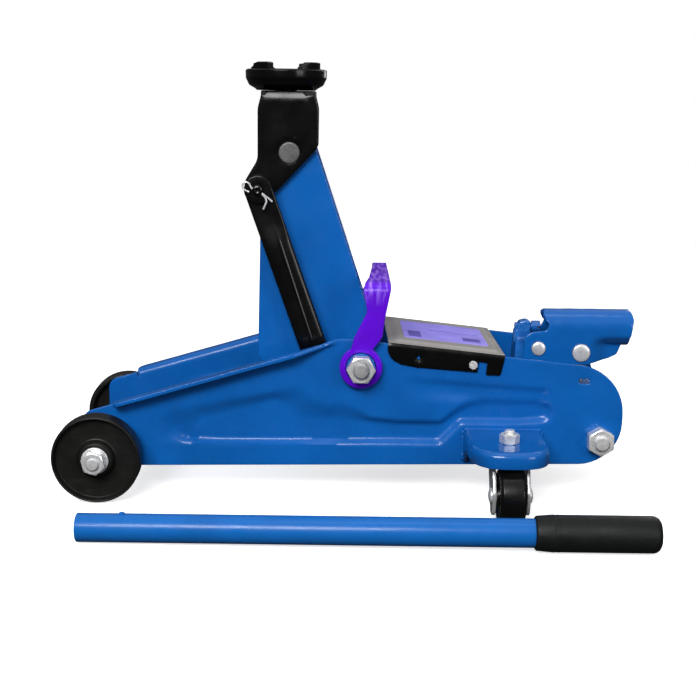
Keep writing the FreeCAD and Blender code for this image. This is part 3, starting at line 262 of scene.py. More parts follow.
def violet_with_painted_highlight():
    """Violet paint of the carry handle, made lighter in streaks along its top as a painted highlight on
    the curved bend.
    """
    paint = Finish("violet_enamel", Coat_Weight=0.15, Coat_Roughness=0.12, Specular_IOR_Level=0.2)
    base = (0.105, 0.003, 0.60)
    tone = paint.ramp(paint.grain(30, 4), (0.3, tint(base, 0.85)), (0.7, tint(base, 1.12)))
    # painted highlight: streaky lighter violet on the top band of the handle, where light catches the
    # bend
    height = paint.node("SeparateXYZ", Vector=paint.place).outputs["Z"]
    top_band = paint.node("MapRange", Value=height)
    top_band.inputs["From Min"].default_value = 0.150
    top_band.inputs["From Max"].default_value = 0.166
    streaks = paint.mask(paint.grain(70, 6, stretch=(5, 0.6, 1.2)), 0.44, 0.64)
    painted_highlight = paint.node("Math", Value=streaks)
    painted_highlight.operation = "MULTIPLY"
    paint.feed(painted_highlight.inputs[1], top_band.outputs[0])
    tone = paint.mix(painted_highlight.outputs[0], tone, (0.34, 0.16, 0.86, 1))
    rough = paint.spread(paint.grain(80, 4, shift=3.0), 0.24, 0.42)
    return paint.finish(tone, rough, paint.bump(paint.grain(300, 2), 0.08, 0.0006))


def film_label():
    """Plain two-tone film on the cover, with no lettering."""
    film = Finish("violet_film", Coat_Weight=0.2, Coat_Roughness=0.25)
    base = (0.32, 0.27, 0.90)
    tone = film.ramp(film.grain(45, 4), (0.35, tint(base, 0.9)), (0.7, tint(base, 1.12)))
    rub = film.mask(film.grain(130, 7, stretch=(1, 2.5, 1)), 0.60, 0.72)
    tone = film.mix(rub, tone, (0.42, 0.38, 0.86, 1))
    rough = film.spread(film.grain(90, 3, shift=2.0), 0.32, 0.5)
    return film.finish(tone, rough, film.bump(film.grain(240, 2), 0.1, 0.0003))


def cast_blue():
    """Painted casting: rough skin, with bare grey patches where the paint is thin."""
    paint = Finish("cast_blue", Coat_Weight=0.4, Coat_Roughness=0.12)
    tone = paint.ramp(paint.grain(60, 5), (0.3, (0.004, 0.06, 0.25)), (0.7, (0.010, 0.13, 0.46)))
    bare = paint.mask(paint.grain(95, 4, shift=2.0), 0.63, 0.68)
    tone = paint.mix(bare, tone, (0.42, 0.45, 0.48, 1))
    rough = paint.spread(paint.grain(70, 4, shift=3.0), 0.2, 0.45)
    skin = paint.bump(paint.grain(190, 6), 0.8, 0.0012)
    return paint.finish(tone, rough, skin)


BLUE = enamel("blue_enamel", (0.0035, 0.100, 0.385), 0.20, 0.34)
SOCKET_BLUE = enamel("socket_enamel", (0.0035, 0.097, 0.370), 0.14, 0.28, peel=0.12, coat=0.4)
TUBE_BLUE = enamel("tube_enamel", (0.006, 0.120, 0.430), 0.24, 0.38, peel=0.04)
BLACK = enamel("black_enamel", (0.0022, 0.0022, 0.0022), 0.16, 0.30, chip=(0.55, 0.55, 0.55))
LINK_BLACK = enamel("link_enamel", (0.0022, 0.0022, 0.0022), 0.20, 0.34, peel=0.03, coat=0.3)
# painted reflection: the cover's black gloss top is coloured grey-brown to stand for the light it
# reflects
COVER_TOP_REFLECTION = enamel("cover_painted_reflection", (0.30, 0.285, 0.275), 0.30, 0.46, peel=0.12)
WHEEL_BLACK = moulded("wheel_black", (0.0070, 0.0070, 0.0062), 0.34, 0.5, 500, 0.0003, coat=0.12)
CASTOR_BLACK = moulded("castor_black", (0.003, 0.003, 0.003), 0.22, 0.36, 380, 0.0002, coat=0.15)
GRIP_BLACK = moulded("grip_rubber", (0.0055, 0.0065, 0.0062), 0.42, 0.6, 900, 0.0004)
VIOLET = violet_with_painted_highlight()
LABEL = film_label()
CASTING = cast_blue()
ZINC = zinc("bright_zinc", 0.86, 0.20, 0.36, warm=0.02)
FORK_ZINC = zinc("fork_zinc", 0.70, 0.14, 0.32, warm=0.02)
STEEL = zinc("ground_steel", 0.50, 0.24, 0.42, warm=0.02)
PIN_STEEL = zinc("dull_steel", 0.15, 0.30, 0.50)

SLOT_FINISH = {
    "blue_paint": BLUE, "purple_paint": VIOLET, "black_paint": BLACK, "purple_label": LABEL,
    "zinc_plate": ZINC, "bright_steel": STEEL, "black_plastic": CASTOR_BLACK,
    "black_rubber": GRIP_BLACK}


# ---------------------------------------------------------------- outlines
def rounded(corners, steps=6):
    """A closed outline from corners (x, y) or (x, y, radius), each radius made an arc."""
    out = []
    count = len(corners)
    for i, corner in enumerate(corners):
        point = Vector(corner[:2])
        radius = corner[2] if len(corner) > 2 else 0
        back = Vector(corners[i - 1][:2]) - point
        on = Vector(corners[(i + 1) % count][:2]) - point
        half = back.angle(on) / 2
        if not radius or half > math.radians(89.5):
            out.append(point)
            continue
        cut = min(radius / math.tan(half), back.length * 0.49, on.length * 0.49)
        radius = cut * math.tan(half)
        back.normalize()
        on.normalize()
        centre = point + (back + on).normalized() * (radius / math.sin(half))
        start, end = point + back * cut - centre, point + on * cut - centre
        first = math.atan2(start.y, start.x)
        sweep = (math.atan2(end.y, end.x) - first + math.pi) % math.tau - math.pi
        for k in range(steps + 1):
            turn = first + sweep * k / steps
            out.append(centre + Vector((math.cos(turn), math.sin(turn))) * radius)
    return out


def ring(x, y, radius, count=32):
    return [Vector((x + radius * math.cos(math.tau * k / count),
                    y + radius * math.sin(math.tau * k / count))) for k in range(count)]


def slot_shape(x0, x1, y, radius, count=12):
    """A slot along x with round ends."""
    left = [Vector((x0 - radius * math.sin(math.pi * k / count),
                    y + radius * math.cos(math.pi * k / count))) for k in range(count + 1)]
    right = [Vector((x1 + radius * math.sin(math.pi * k / count),
                     y - radius * math.cos(math.pi * k / count))) for k in range(count + 1)]
    return left + right


def area(loop):
    return sum(a.x * b.y - b.x * a.y for a, b in zip(loop, loop[1:] + loop[:1])) / 2


def directed(loop, positive):
    loop = [Vector(p) for p in loop]
    return loop if (area(loop) > 0) == positive else loop[::-1]


def divided(loop, longest):
    out = []
    for a, b in zip(loop, loop[1:] + loop[:1]):
        parts = max(1, math.ceil((b - a).length / longest))
        out += [a.lerp(b, k / parts) for k in range(parts)]
    return out


def inset(loop, distance):
    """The loop moved to the left of its own direction, with mitred corners."""
    out = []
    for i, point in enumerate(loop):
        a = (point - loop[i - 1]).normalized()
        b = (loop[(i + 1) % len(loop)] - point).normalized()
        first, second = Vector((-a.y, a.x)), Vector((-b.y, b.x))
        out.append(point + (first + second) * (distance / max(0.4, 1 + first.dot(second))))
    return out


def gap_to(polygon, x, y):
    """Distance from a point to a closed polygon's boundary, negative inside it."""
    best, inside = 1e9, False
    for (ax, ay), (bx, by) in zip(polygon, polygon[1:] + polygon[:1]):
        ex, ey = bx - ax, by - ay
        t = max(0.0, min(1.0, ((x - ax) * ex + (y - ay) * ey) / (ex * ex + ey * ey)))
        best = min(best, math.hypot(x - ax - ex * t, y - ay - ey * t))
        if (ay > y) != (by > y) and x < ex * (y - ay) / ey + ax:
            inside = not inside
    return -best if inside else best


def smooth(value, low=0.0, high=1.0):
    t = max(0.0, min(1.0, (value - low) / (high - low)))
    return t * t * (3 - 2 * t)


def contained(points, loops):
    """Which points lie inside the first loop and outside the others."""
    hit = np.zeros(len(points), bool)
    for loop in loops:
        for a, b in zip(loop, loop[1:] + loop[:1]):
            if a.y == b.y:
                continue
            spans = (a.y > points[:, 1]) != (b.y > points[:, 1])
            cross = (b.x - a.x) * (points[:, 1] - a.y) / (b.y - a.y) + a.x
            hit ^= spans & (points[:, 0] < cross)
    return hit


def away(points, loops, distance):
    """Which points keep at least that distance from every edge of the loops."""
    near = np.full(len(points), 1e9)
    for loop in loops:
        for a, b in zip(loop, loop[1:] + loop[:1]):
            run, start = np.array(b - a), points - np.array(a)
            share = np.clip(start @ run / max(1e-12, run @ run), 0, 1)
            near = np.minimum(near, np.hypot(*(start - share[:, None] * run).T))
    return near > distance


def filled(loops, spacing, guides=()):
    """Triangles that fill the first loop round the others, with guides and a grid inside."""
    coords = [p for loop in loops for p in loop]
    edges, start = [], 0
    for loop in loops:
        edges += [(start + k, start + (k + 1) % len(loop)) for k in range(len(loop))]
        start += len(loop)
    if spacing:
        border = np.array([tuple(p) for p in coords])
        low, high = border.min(0), border.max(0)
        rows = np.arange(low[1], high[1], spacing * 0.866)
        grid = np.array([(x + (k % 2) * spacing / 2, y) for k, y in enumerate(rows)
                         for x in np.arange(low[0], high[0], spacing)])
        grid = grid[contained(grid, loops) & away(grid, loops, spacing * 0.5)]
        if len(guides):
            lines = np.array([tuple(p) for p in guides])
            lines = lines[contained(lines, loops) & away(lines, loops, 0.5)]
            clear = [np.min(np.hypot(*(lines - p).T)) > spacing * 0.5 for p in grid]
            grid = np.vstack([lines, grid[np.array(clear)]])
        coords = coords + [Vector(p) for p in grid]
    points, _, faces, origin, _, _ = geometry.delaunay_2d_cdt(coords, edges, [], 0, 1e-7)
    shapes = np.array([[tuple(points[k]) for k in f] for f in faces])
    first, second = shapes[:, 1] - shapes[:, 0], shapes[:, 2] - shapes[:, 0]
    sizes = np.abs(first[:, 0] * second[:, 1] - first[:, 1] * second[:, 0])
    keep = contained(shapes.mean(1), loops) & (sizes > 2e-4)
    source = [o[0] if o else None for o in origin]
    return coords, [[source[k] for k in f] for f, good in zip(faces, keep) if good]


# ---------------------------------------------------------------- solids in a bmesh
def local(origin, z_axis, x_axis=(1, 0, 0)):
    """Turns a piece's own (x, y, z) into the row frame."""
    z = Vector(z_axis).normalized()
    x = Vector(x_axis)
    x = (x - z * x.dot(z)).normalized()
    y = z.cross(x)
    start = Vector(origin)
    return lambda a, b, c: start + x * a + y * b + z * c


def left_side(out, x=0.0, z=0.0):
    """Own z points out of the jack's left side, starting at that distance from the middle."""
    return local((x, -out, z), (0, -1, 0))


def flipped(place):
    def other(a, b, c):
        point = place(a, b, c)
        return Vector((point[0], -point[1], point[2]))
    return other


def both(place):
    return (place, flipped(place))


def add_rings(bm, rings, closed=False):
    """Quads between successive loops of points that have the same count."""
    loops = [[bm.verts.new(p * MM) for p in points] for points in rings]
    pairs = list(zip(loops, loops[1:])) + ([(loops[-1], loops[0])] if closed else [])
    for lower, upper in pairs:
        for k in range(len(lower)):
            j = (k + 1) % len(lower)
            bm.faces.new((lower[k], lower[j], upper[j], upper[k]))
    return loops


def add_slab(bm, outline, low, high, place, holes=(), bevel=0.5, spacing=None, longest=None,
             relief=None, steps=3, guides=()):
    """A plate with rounded rims. relief(x, y, share) lifts a point; share is 0 low and 1 high."""
    loops = [directed(outline, True)] + [directed(h, False) for h in holes]
    if longest or spacing:
        loops = [divided(loop, longest or spacing) for loop in loops]
    bend = [math.radians(90) * k / steps for k in range(steps + 1)]
    levels = [(bevel * (1 - math.cos(a)), low + bevel * (1 - math.sin(a))) for a in bend[::-1]]
    levels += [(bevel * (1 - math.cos(a)), high - bevel * (1 - math.sin(a))) for a in bend]

    def lift(x, y, w):
        if relief:
            w += relief(x, y, (w - low) / (high - low))
        return place(x, y, w)

    rows = [[] for _ in levels]
    for loop in loops:
        shapes = [inset(loop, amount) for amount, _ in levels]
        made = add_rings(bm, [[lift(p.x, p.y, w) for p in shape]
                              for shape, (_, w) in zip(shapes, levels)])
        for row, verts in zip(rows, made):
            row += verts
    caps = [inset(loop, bevel) for loop in loops]
    coords, triangles = filled(caps, spacing, guides)
    for row, w in ((rows[0], low), (rows[-1], high)):
        verts = row + [bm.verts.new(lift(p.x, p.y, w) * MM) for p in coords[len(row):]]
        for triangle in triangles:
            bm.faces.new([verts[k] for k in triangle])


def add_lathe(bm, profile, place, closed=False, count=64, steps=4):
    """A turned solid from (radius, height) corners; open profiles begin and end on the axis."""
    shape = rounded(profile, steps)
    if not closed:
        shape = rounded([(-p[0] - 1, p[1]) for p in profile[:1]] + list(profile), steps)[1:]
    rings = [[place(p.x * math.cos(math.tau * k / count), p.x * math.sin(math.tau * k / count), p.y)
              for k in range(count)] for p in shape]
    add_rings(bm, rings, closed)


def add_hexagon(bm, flats, low, high, bore, place, count=96, turn=0.0, both_ends=True):
    """A hexagon nut with chamfered corners, or a solid head where bore is 0."""
    inner = flats / 2
    face = inner * 0.955
    rings = []

    def around(radius, height, follow=False, sign=0.0):
        points = []
        for k in range(count):
            angle = math.tau * k / count
            corner = inner / math.cos((angle + math.pi / 6) % (math.pi / 3) - math.pi / 6)
            reach = corner if follow else radius
            drop = max(0.0, corner - face) * 0.577 * sign if follow else 0.0
            points.append(place(reach * math.cos(angle + turn), reach * math.sin(angle + turn),
                                height + drop))
        rings.append(points)

    if bore:
        around(bore, low + 0.6)
        around(bore + 0.7, low)
    else:
        around(0.0, low)
    around(face, low)
    around(0, low, True, 1.0 if both_ends else 0.15)
    around(0, high, True, -1.0)
    around(face, high)
    if bore:
        around(bore + 0.8, high)
        around(bore, high - 0.8)
    else:
        around(0.0, high)
    add_rings(bm, rings, closed=bool(bore))


def add_thread(bm, radius, low, high, pitch, place, count=48, chamfer=1.1, dome=0.0):
    """The threaded end of a bolt with its chamfered tip."""
    steps = max(6, int((high - low) / pitch * 8))
    rings = []
    for row in range(steps + 1):
        height = low + (high - low) * row / steps
        points = []
        for k in range(count):
            phase = (height / pitch - k / count) % 1.0
            cut = 0.55 * pitch * abs(phase * 2 - 1)
            reach = min(radius - cut, radius - chamfer + (high - height))
            points.append(place(reach * math.cos(math.tau * k / count),
                                reach * math.sin(math.tau * k / count), height))
        rings.append(points)
    for share in (1.0, 0.5, 0.0):
        reach = (radius - chamfer - 0.1) * share
        rings.append([place(reach * math.cos(math.tau * k / count),
                            reach * math.sin(math.tau * k / count),
                            high + dome * (1 - share * share)) for k in range(count)])
    add_rings(bm, rings)


def spline(points, count):
    """Points on a smooth line through the given points."""
    path = [Vector(p) for p in points]
    path = [path[0] * 2 - path[1]] + path + [path[-1] * 2 - path[-2]]
    out = []
    for i in range(1, len(path) - 2):
        a, b, c, d = path[i - 1:i + 3]
        for k in range(count):
            t = k / count
            out.append(0.5 * (2 * b + (c - a) * t + (2 * a - 5 * b + 4 * c - d) * t * t
                              + (3 * b - a - 3 * c + d) * t ** 3))
    return out + [path[-2]]


def add_wire(bm, path, radius, sides=12, wobble=None):
    """A round wire along a path, its ends closed by small domes."""
    across = (path[1] - path[0]).orthogonal().normalized()
    rings = []
    for i, point in enumerate(path):
        ahead = (path[min(i + 1, len(path) - 1)] - path[max(i - 1, 0)]).normalized()
        across = (across - ahead * across.dot(ahead)).normalized()
        up = ahead.cross(across)
        size = radius * (1 + (wobble(i) if wobble else 0.0))
        loops = [(0.0, size)]
        if i == 0:
            loops = [(-radius * 0.5, 0.0), (-radius * 0.45, size * 0.55), (0.0, size)]
        if i == len(path) - 1:
            loops = [(0.0, size), (radius * 0.45, size * 0.55), (radius * 0.5, 0.0)]
        for shift, reach in loops:
            rings.append([point + ahead * shift + (across * math.cos(math.tau * k / sides)
                          + up * math.sin(math.tau * k / sides)) * reach for k in range(sides)])
    add_rings(bm, rings)


def make(name, build, body, finish, replaces=(), crease=42.0):
    """Run build(bmesh), and let the result ride on a body in place of the named CAD nodes."""
    bm = bmesh.new()
    build(bm)
    bmesh.ops.remove_doubles(bm, verts=bm.verts, dist=1e-7)
    bmesh.ops.dissolve_degenerate(bm, edges=bm.edges, dist=1e-8)
    bmesh.ops.recalc_face_normals(bm, faces=bm.faces)
    mesh = bpy.data.meshes.new(name)
    bm.to_mesh(mesh)
    bm.free()
    mesh.polygons.foreach_set("use_smooth", [True] * len(mesh.polygons))
    mesh.set_sharp_from_angle(angle=math.radians(crease))
    mesh.materials.append(finish)
    piece = bpy.data.objects.new(name, mesh)
    SCENE.collection.objects.link(piece)
    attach(piece, body)
    if replaces:
        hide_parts(*replaces)
    return piece


def make_sides(name, build, bodies, finish, nodes, crease=42.0):
    """The left piece and its mirror image. build takes the bmesh and a wrapper for places."""
    for side, body, node, wrap in zip(("left", "right"), bodies, nodes, (lambda p: p, flipped)):
        make("%s_%s_look" % (name, side), lambda bm, wrap=wrap: build(bm, wrap), body,
             finish, [node], crease)


# ---------------------------------------------------------------- side plates
SLOPE = math.atan(0.295)
FOLD = Vector((-187.0, 68.3))
ALONG = Vector((math.cos(SLOPE), math.sin(SLOPE)))
ACROSS = Vector((-math.sin(SLOPE), math.cos(SLOPE)))
FLANGE = 13.1
HOLLOW_RIM = [
    (-155, 41), (-155.5, 60), (-150, 68), (-66, 84), (-49, 88.5), (-38, 82), (-30.6, 76.4),
    (-23.9, 73.7), (-15.5, 76.9), (-5.3, 73.2), (8, 64), (28.8, 61.5), (62.7, 61.5),
    (69.3, 69.1), (79, 77), (92, 80.5), (137, 79), (148, 76), (150, 69), (147, 60),
    (120, 57.8), (78, 57.8), (73.3, 51.6), (63.4, 40.9), (29, 41.3), (-39, 40.5), (-107, 40)]
HOLLOW_BED = [
    (-133, 45.5), (-133.7, 48.5), (-119, 60.2), (-66.2, 74), (-57.7, 71.5), (-52.6, 63.7),
    (-45.8, 59.4), (-11.9, 59.3), (3.4, 58.3), (30, 56.5), (61, 56.5), (70, 62), (84, 69.5),
    (95, 72), (134, 71), (141, 69), (139, 64.5), (120, 62.5), (76, 62.5), (68, 55), (59, 46),
    (5.3, 45.9), (-55.9, 44.2), (-110.6, 44)]


def fold_point(s, d, *radius):
    return (*(FOLD + ALONG * s + ACROSS * d), *radius)


def folded(x, z, w):
    """Plate point to row frame: the strip above the fold line turns outward into the flange."""
    run = Vector((x, z)) - FOLD
    s, d = run.dot(ALONG), run.dot(ACROSS)
    turn = math.radians(90) * (1 - smooth(s, 163, 180))
    if s < 0.35 or d <= 0 or turn < 0.01:
        return Vector((x, -(PLATE_FACE + w), z))
    bend = 2.0
    reach = bend - w
    angle = min(turn, d / bend)
    rest = max(0.0, d - turn * bend)
    rise = reach * math.sin(angle) + rest * math.cos(turn)
    out = bend - reach * math.cos(angle) + rest * math.sin(turn)
    flat = FOLD + ALONG * s + ACROSS * rise
    return Vector((flat.x, -(PLATE_FACE + out), flat.y))


def pressed(x, z, _share):
    """Depth of the stampings in a side plate, negative towards the inside."""
    depth = 0.12 * noise.noise(Vector((x * 0.03, z * 0.05, 1.3)))
    rim = gap_to(HOLLOW_RIM, x, z)
    if rim < 0:
        bed = max(0.0, gap_to(HOLLOW_BED, x, z))
        depth -= 4.2 * smooth(-rim / (-rim + bed + 1e-6))
    if 20 < x < 152 and 70 < z < 98:
        below = 96.8 - 0.068 * (x - 20) - z
        window = smooth(x, 22, 70) * (1 - smooth(x, 138, 148))
        depth -= 2.2 * smooth(below, 0, 6) * (1 - smooth(below, 9, 20)) * window
    return depth


def side_plate(bm, wrap):
    outline = rounded([
        (-211.7, 22.2, 9), (-211.7, 64.1, 9), (-187.7, 71.2, 0.6), (-187.4, 67.6),
        fold_point(0.6, -0.4), fold_point(0.6, FLANGE, 6), fold_point(142, FLANGE, 14),
        fold_point(166, 4.3, 8), fold_point(178, 5.0, 12), (-4, 123.6, 10), (20.6, 120.6, 8),
        (201.5, 101.8, 38), (201.5, 27.9, 33)], 10)
    holes = [ring(*WHEEL, 5.0), ring(*PIVOT, 8.0), ring(*REAR_BOLT, 6.0),
             slot_shape(168.6, 173.0, 93.0, 2.1), ring(85.2, 105.2, 2.0, 20)]
    bend = [fold_point(s, d) for s in np.arange(1.8, 178, 2.0)
            for d in (0.0, 0.8, 1.6, 2.4, 3.2)]
    add_slab(bm, outline, -3.0, 0.0, wrap(folded), holes, bevel=0.55, spacing=2.3,
             relief=pressed, guides=bend)


make_sides("side_plate", side_plate, ("frame", "frame"), BLUE,
           ("side_plate_left", "side_plate_right"))


# ---------------------------------------------------------------- front wheels and their bolts
def front_wheel(bm, wrap):
    add_lathe(bm, [
        (6.1, 65.0, 0.4), (13, 65.0, 0.8), (12.2, 70.6, 1.5), (27.5, 70.6, 2), (29.5, 65.0, 1.2),
        (32.6, 65.0, 1.4), (33.5, 67.5, 1.0), (33.5, 79.6, 1.2), (32.7, 81.6, 0.8),
        (31.5, 81.6, 0.7), (30.9, 77.4, 1.2), (30.2, 76.4, 0.6), (14.6, 76.0, 1.6),
        (13.4, 79.8, 1.0), (12.2, 81.4, 0.8), (6.1, 81.4, 0.4)],
        wrap(left_side(0, *WHEEL)), closed=True, count=128)


make_sides("front_wheel", front_wheel, ("wheel_left", "wheel_right"),
           WHEEL_BLACK, ("front_wheel_left", "front_wheel_right"))


def wheel_washers(bm):
    for place in both(left_side(81.9, *WHEEL)):
        add_lathe(bm, [(5.05, 0, 0.1), (10.3, 0, 0.3), (10.3, 1.6, 0.7), (5.05, 1.6, 0.3)],
                  place, closed=True)


def wheel_nuts(bm):
    for place in both(left_side(83.5, *WHEEL)):
        add_lathe(bm, [(5.1, 0), (8.7, 0, 0.2), (8.7, 0.7, 0.2), (5.1, 0.7)], place, closed=True)
        add_hexagon(bm, 16, 0.6, 7.9, 4.6, place, turn=0.25)


def wheel_bolts(bm):
    for place in both(left_side(54, *WHEEL)):
        add_hexagon(bm, 16, -5, -0.02, 0, place, turn=0.25)
        add_lathe(bm, [(0, -0.5), (4.95, -0.5), (4.95, 32), (0, 32)], place)
        add_thread(bm, 4.95, 31.8, 40.0, 1.5, place, dome=0.25)


make("wheel_washers_look", wheel_washers, "frame", ZINC, ["wheel_washers"])
make("wheel_nuts_look", wheel_nuts, "frame", ZINC, ["wheel_nuts"], 24)
make("wheel_bolts_look", wheel_bolts, "frame", ZINC, ["wheel_bolts"], 24)


# ---------------------------------------------------------------- large fasteners
def large_nuts(bm):
    places = [(place, 0.5) for place in both(left_side(64.2, *PIVOT))]
    for place, turn in places + [(left_side(57, *REAR_BOLT), 0.02)]:
        add_hexagon(bm, 19, 0, 10, 5.7, place, turn=turn)


def pivot_shaft(bm):
    middle = local((0, 0, 103), (0, -1, 0))
    add_lathe(bm, [(0, -66), (5.6, -66), (5.6, -57), (8, -57, 0.4), (8, 57, 0.4), (5.6, 57),
                   (5.6, 66), (0, 66)], middle)
    for place in both(middle):
        add_thread(bm, 5.95, 64.5, 78, 1.75, place, chamfer=1.3, dome=0.3)


def rear_bolt(bm):
    place = left_side(0, *REAR_BOLT)
    add_hexagon(bm, 19, -64.5, -57.02, 0, place, turn=0.3)
    add_lathe(bm, [(0, -57.2), (5.95, -57.2), (5.95, 58), (0, 58)], place)
    add_thread(bm, 5.95, 57.8, 70.8, 1.75, place, chamfer=1.3, dome=0.3)


def pivot_collars(bm):
    for place in both(left_side(57, *PIVOT)):
        add_lathe(bm, [(6.05, 0), (11.1, 0, 0.2), (11.1, 7.2, 0.8), (6.05, 7.2, 0.2)], place,
                  closed=True)


make("large_nuts_look", large_nuts, "frame", ZINC, ["large_nuts"], 24)
make("pivot_shaft_look", pivot_shaft, "frame", STEEL, ["pivot_shaft"])
make("rear_bolt_look", rear_bolt, "frame", ZINC, ["rear_bolt"], 24)
make("pivot_collars_look", pivot_collars, "frame", BLUE, ["pivot_collars"])


# ---------------------------------------------------------------- castors
def shelf(bm, wrap):
    """Stamped shelf: flat top, rolled round edge and side skirts that deepen to the plate."""
    cx, cy = CASTOR
    root, half, roll, wall, top = -57.2, 30.0, 4.6, 3.0, 55.0
    middle, reach = -84.0, 42.0
    outline = [Vector((cx - half, root)), Vector((cx - half, middle))]
    for k in range(1, 48):
        turn = math.pi * k / 48
        flat = math.copysign(abs(math.cos(turn)) ** 0.66, -math.cos(turn))
        outline.append(Vector((cx + half * flat, middle - reach * math.sin(turn) ** 0.66)))
    outline += [Vector((cx + half, middle)), Vector((cx + half, root))]
    loop = directed(divided(outline, 2.5), True)

    def moved(distance):
        out = inset(loop, distance)
        for point, old in zip(out, loop):
            if abs(old.y - root) < 0.01:
                point.y = root
        return out

    def low(point):
        if abs(point.y - root) < 0.01 and abs(point.x - cx) < half - 0.01:
            return top - roll
        return 43.0 - 14.0 * smooth(point.y, -76, root)

    lows = [low(p) for p in loop]
    rings = []
    bends = [math.radians(90) * k / 6 for k in range(7)]
    for a in bends[::-1]:
        rings.append([(p, top - roll * (1 - math.sin(a))) for p in moved(roll * (1 - math.cos(a)))])
    for amount, lift in ((0.0, 0.9), (0.35, 0.2), (0.9, 0.0), (wall - 0.7, 0.0), (wall - 0.2, 0.2),
                         (wall, 0.8)):
        rings.append([(p, z + lift) for p, z in zip(moved(amount), lows)])
    for a in bends:
        rings.append([(p, top - roll + (roll - wall) * math.sin(a))
                      for p in moved(wall + (roll - wall) * (1 - math.cos(a)))])
    place = wrap(lambda x, y, z: Vector((x, y, z)))
    made = add_rings(bm, [[place(p.x, p.y, z) for p, z in row] for row in rings])
    cap = [p for p, _ in rings[0]]
    hole = directed(ring(cx, cy, 4.0, 24), False)
    for verts, z in ((made[0], top), (made[-1], top - wall)):
        coords, triangles = filled([cap, hole], 4.0)
        extra = [bm.verts.new(place(p.x, p.y, z) * MM) for p in coords[len(verts):]]
        every = list(verts) + extra
        for triangle in triangles:
            bm.faces.new([every[k] for k in triangle])
        rim = extra[:len(hole)]
        if z == top:
            upper = rim
        else:
            for k in range(len(rim)):
                j = (k + 1) % len(rim)
                bm.faces.new((upper[k], upper[j], rim[j], rim[k]))


def weld(bm, wrap):
    """Weld beads that hold the shelf to the side plate."""
    cx = CASTOR[0]
    for ends, seed in ((((cx - 29, -57.6, 54.4), (cx + 29, -57.6, 54.4)), 1.0),
                       (((cx - 30.3, -57.6, 53), (cx - 30.3, -57.6, 31)), 5.0),
                       (((cx + 30.3, -57.6, 53), (cx + 30.3, -57.6, 31)), 9.0)):
        a, b = (wrap(lambda x, y, z: Vector((x, y, z)))(*end) for end in ends)
        path = [a.lerp(b, k / 40) for k in range(41)]
        add_wire(bm, path, 1.5, 10, lambda i, seed=seed: 0.25 * noise.noise(
            Vector((i * 0.55, seed, 0.0))))


def castor_fork(bm, wrap):
    """One strip bent to a U over the wheel."""
    cx, cy = CASTOR
    reach, roll, top, wall = 13.8, 4.0, 48.0, 2.6
    arc = roll * math.pi / 2

    def bent(u, y, w):
        side, u = (1 if u > 0 else -1), abs(u)
        flat = reach - roll
        angle = min(math.pi / 2, max(0.0, u - flat) / roll)
        rest = max(0.0, u - flat - arc)
        across = min(u, flat) + (roll + w) * math.sin(angle)
        return Vector((cx + side * across, y,
                       top - roll + (roll + w) * math.cos(angle) - rest))

    def down(z):
        return reach - roll + arc + (top - roll - z)

    cheek = [(cy + 11, 44, 2), (cy + 7.5, 36, 6), (cy - 8, 11.5, 8), (cy - 12, 5.4, 7),
             (cy - 22, 5.4, 7), (cy - 26.5, 22, 9), (cy - 16, 40, 6), (cy - 15, 44, 2)]
    right = [(down(z), y, r) for y, z, r in cheek]
    left = [(-u, y, r) for u, y, r in right[::-1]]
    outline = rounded(right + left, 5)
    holes = [ring(0, cy, 4.1, 24)] + [ring(side * down(20.0), cy - TRAIL, 4.0, 24)
                                      for side in (-1, 1)]
    add_slab(bm, outline, -wall, 0.0, wrap(bent), holes, bevel=0.5, longest=3.0, spacing=2.4)


def castor_axle(bm, wrap):
    place = wrap(local((CASTOR[0], CASTOR[1] - TRAIL, 20), (1, 0, 0), (0, 1, 0)))
    add_lathe(bm, [(0, -16.1), (2.5, -16.1, 1.2), (5.4, -15.2, 1.0), (5.5, -13.8, 0.2),
                   (3.95, -13.8), (3.95, 13.8), (5.5, 13.8, 0.2), (5.4, 15.2, 1.0),
                   (2.5, 16.1, 1.2), (0, 16.1)], place, count=40)


def castor_wheel(bm, wrap):
    place = wrap(local((CASTOR[0], CASTOR[1] - TRAIL, 20), (1, 0, 0), (0, 1, 0)))
    add_lathe(bm, [
        (4.1, -10.4, 0.2), (7.8, -10.4, 0.5), (8.2, -8.4, 0.8), (15.4, -8.0, 1.0),
        (16.4, -9.5, 0.6), (18.2, -9.5, 1.0), (20.0, -7.2, 1.6), (20.0, 7.2, 1.6),
        (18.2, 9.5, 1.0), (16.4, 9.5, 0.6), (15.4, 8.0, 1.0), (8.2, 8.4, 0.8),
        (7.8, 10.4, 0.5), (4.1, 10.4, 0.2)], place, closed=True, count=112)


def kingpin_nuts(bm):
    for place in both(local((*CASTOR, 55), (0, 0, 1))):
        add_hexagon(bm, 13, 0.0, 7.0, 3.75, place, turn=0.42)


def kingpins(bm):
    for place in both(local((*CASTOR, 0), (0, 0, 1))):
        add_lathe(bm, [(0, 41.0), (4, 41.0, 1.0), (6.8, 43.4, 0.8), (6.8, 44.9), (3.95, 44.9),
                       (3.95, 57), (0, 57)], place, count=40)
        add_thread(bm, 3.95, 56.8, 64.8, 1.25, place, 36, 0.8, 0.15)


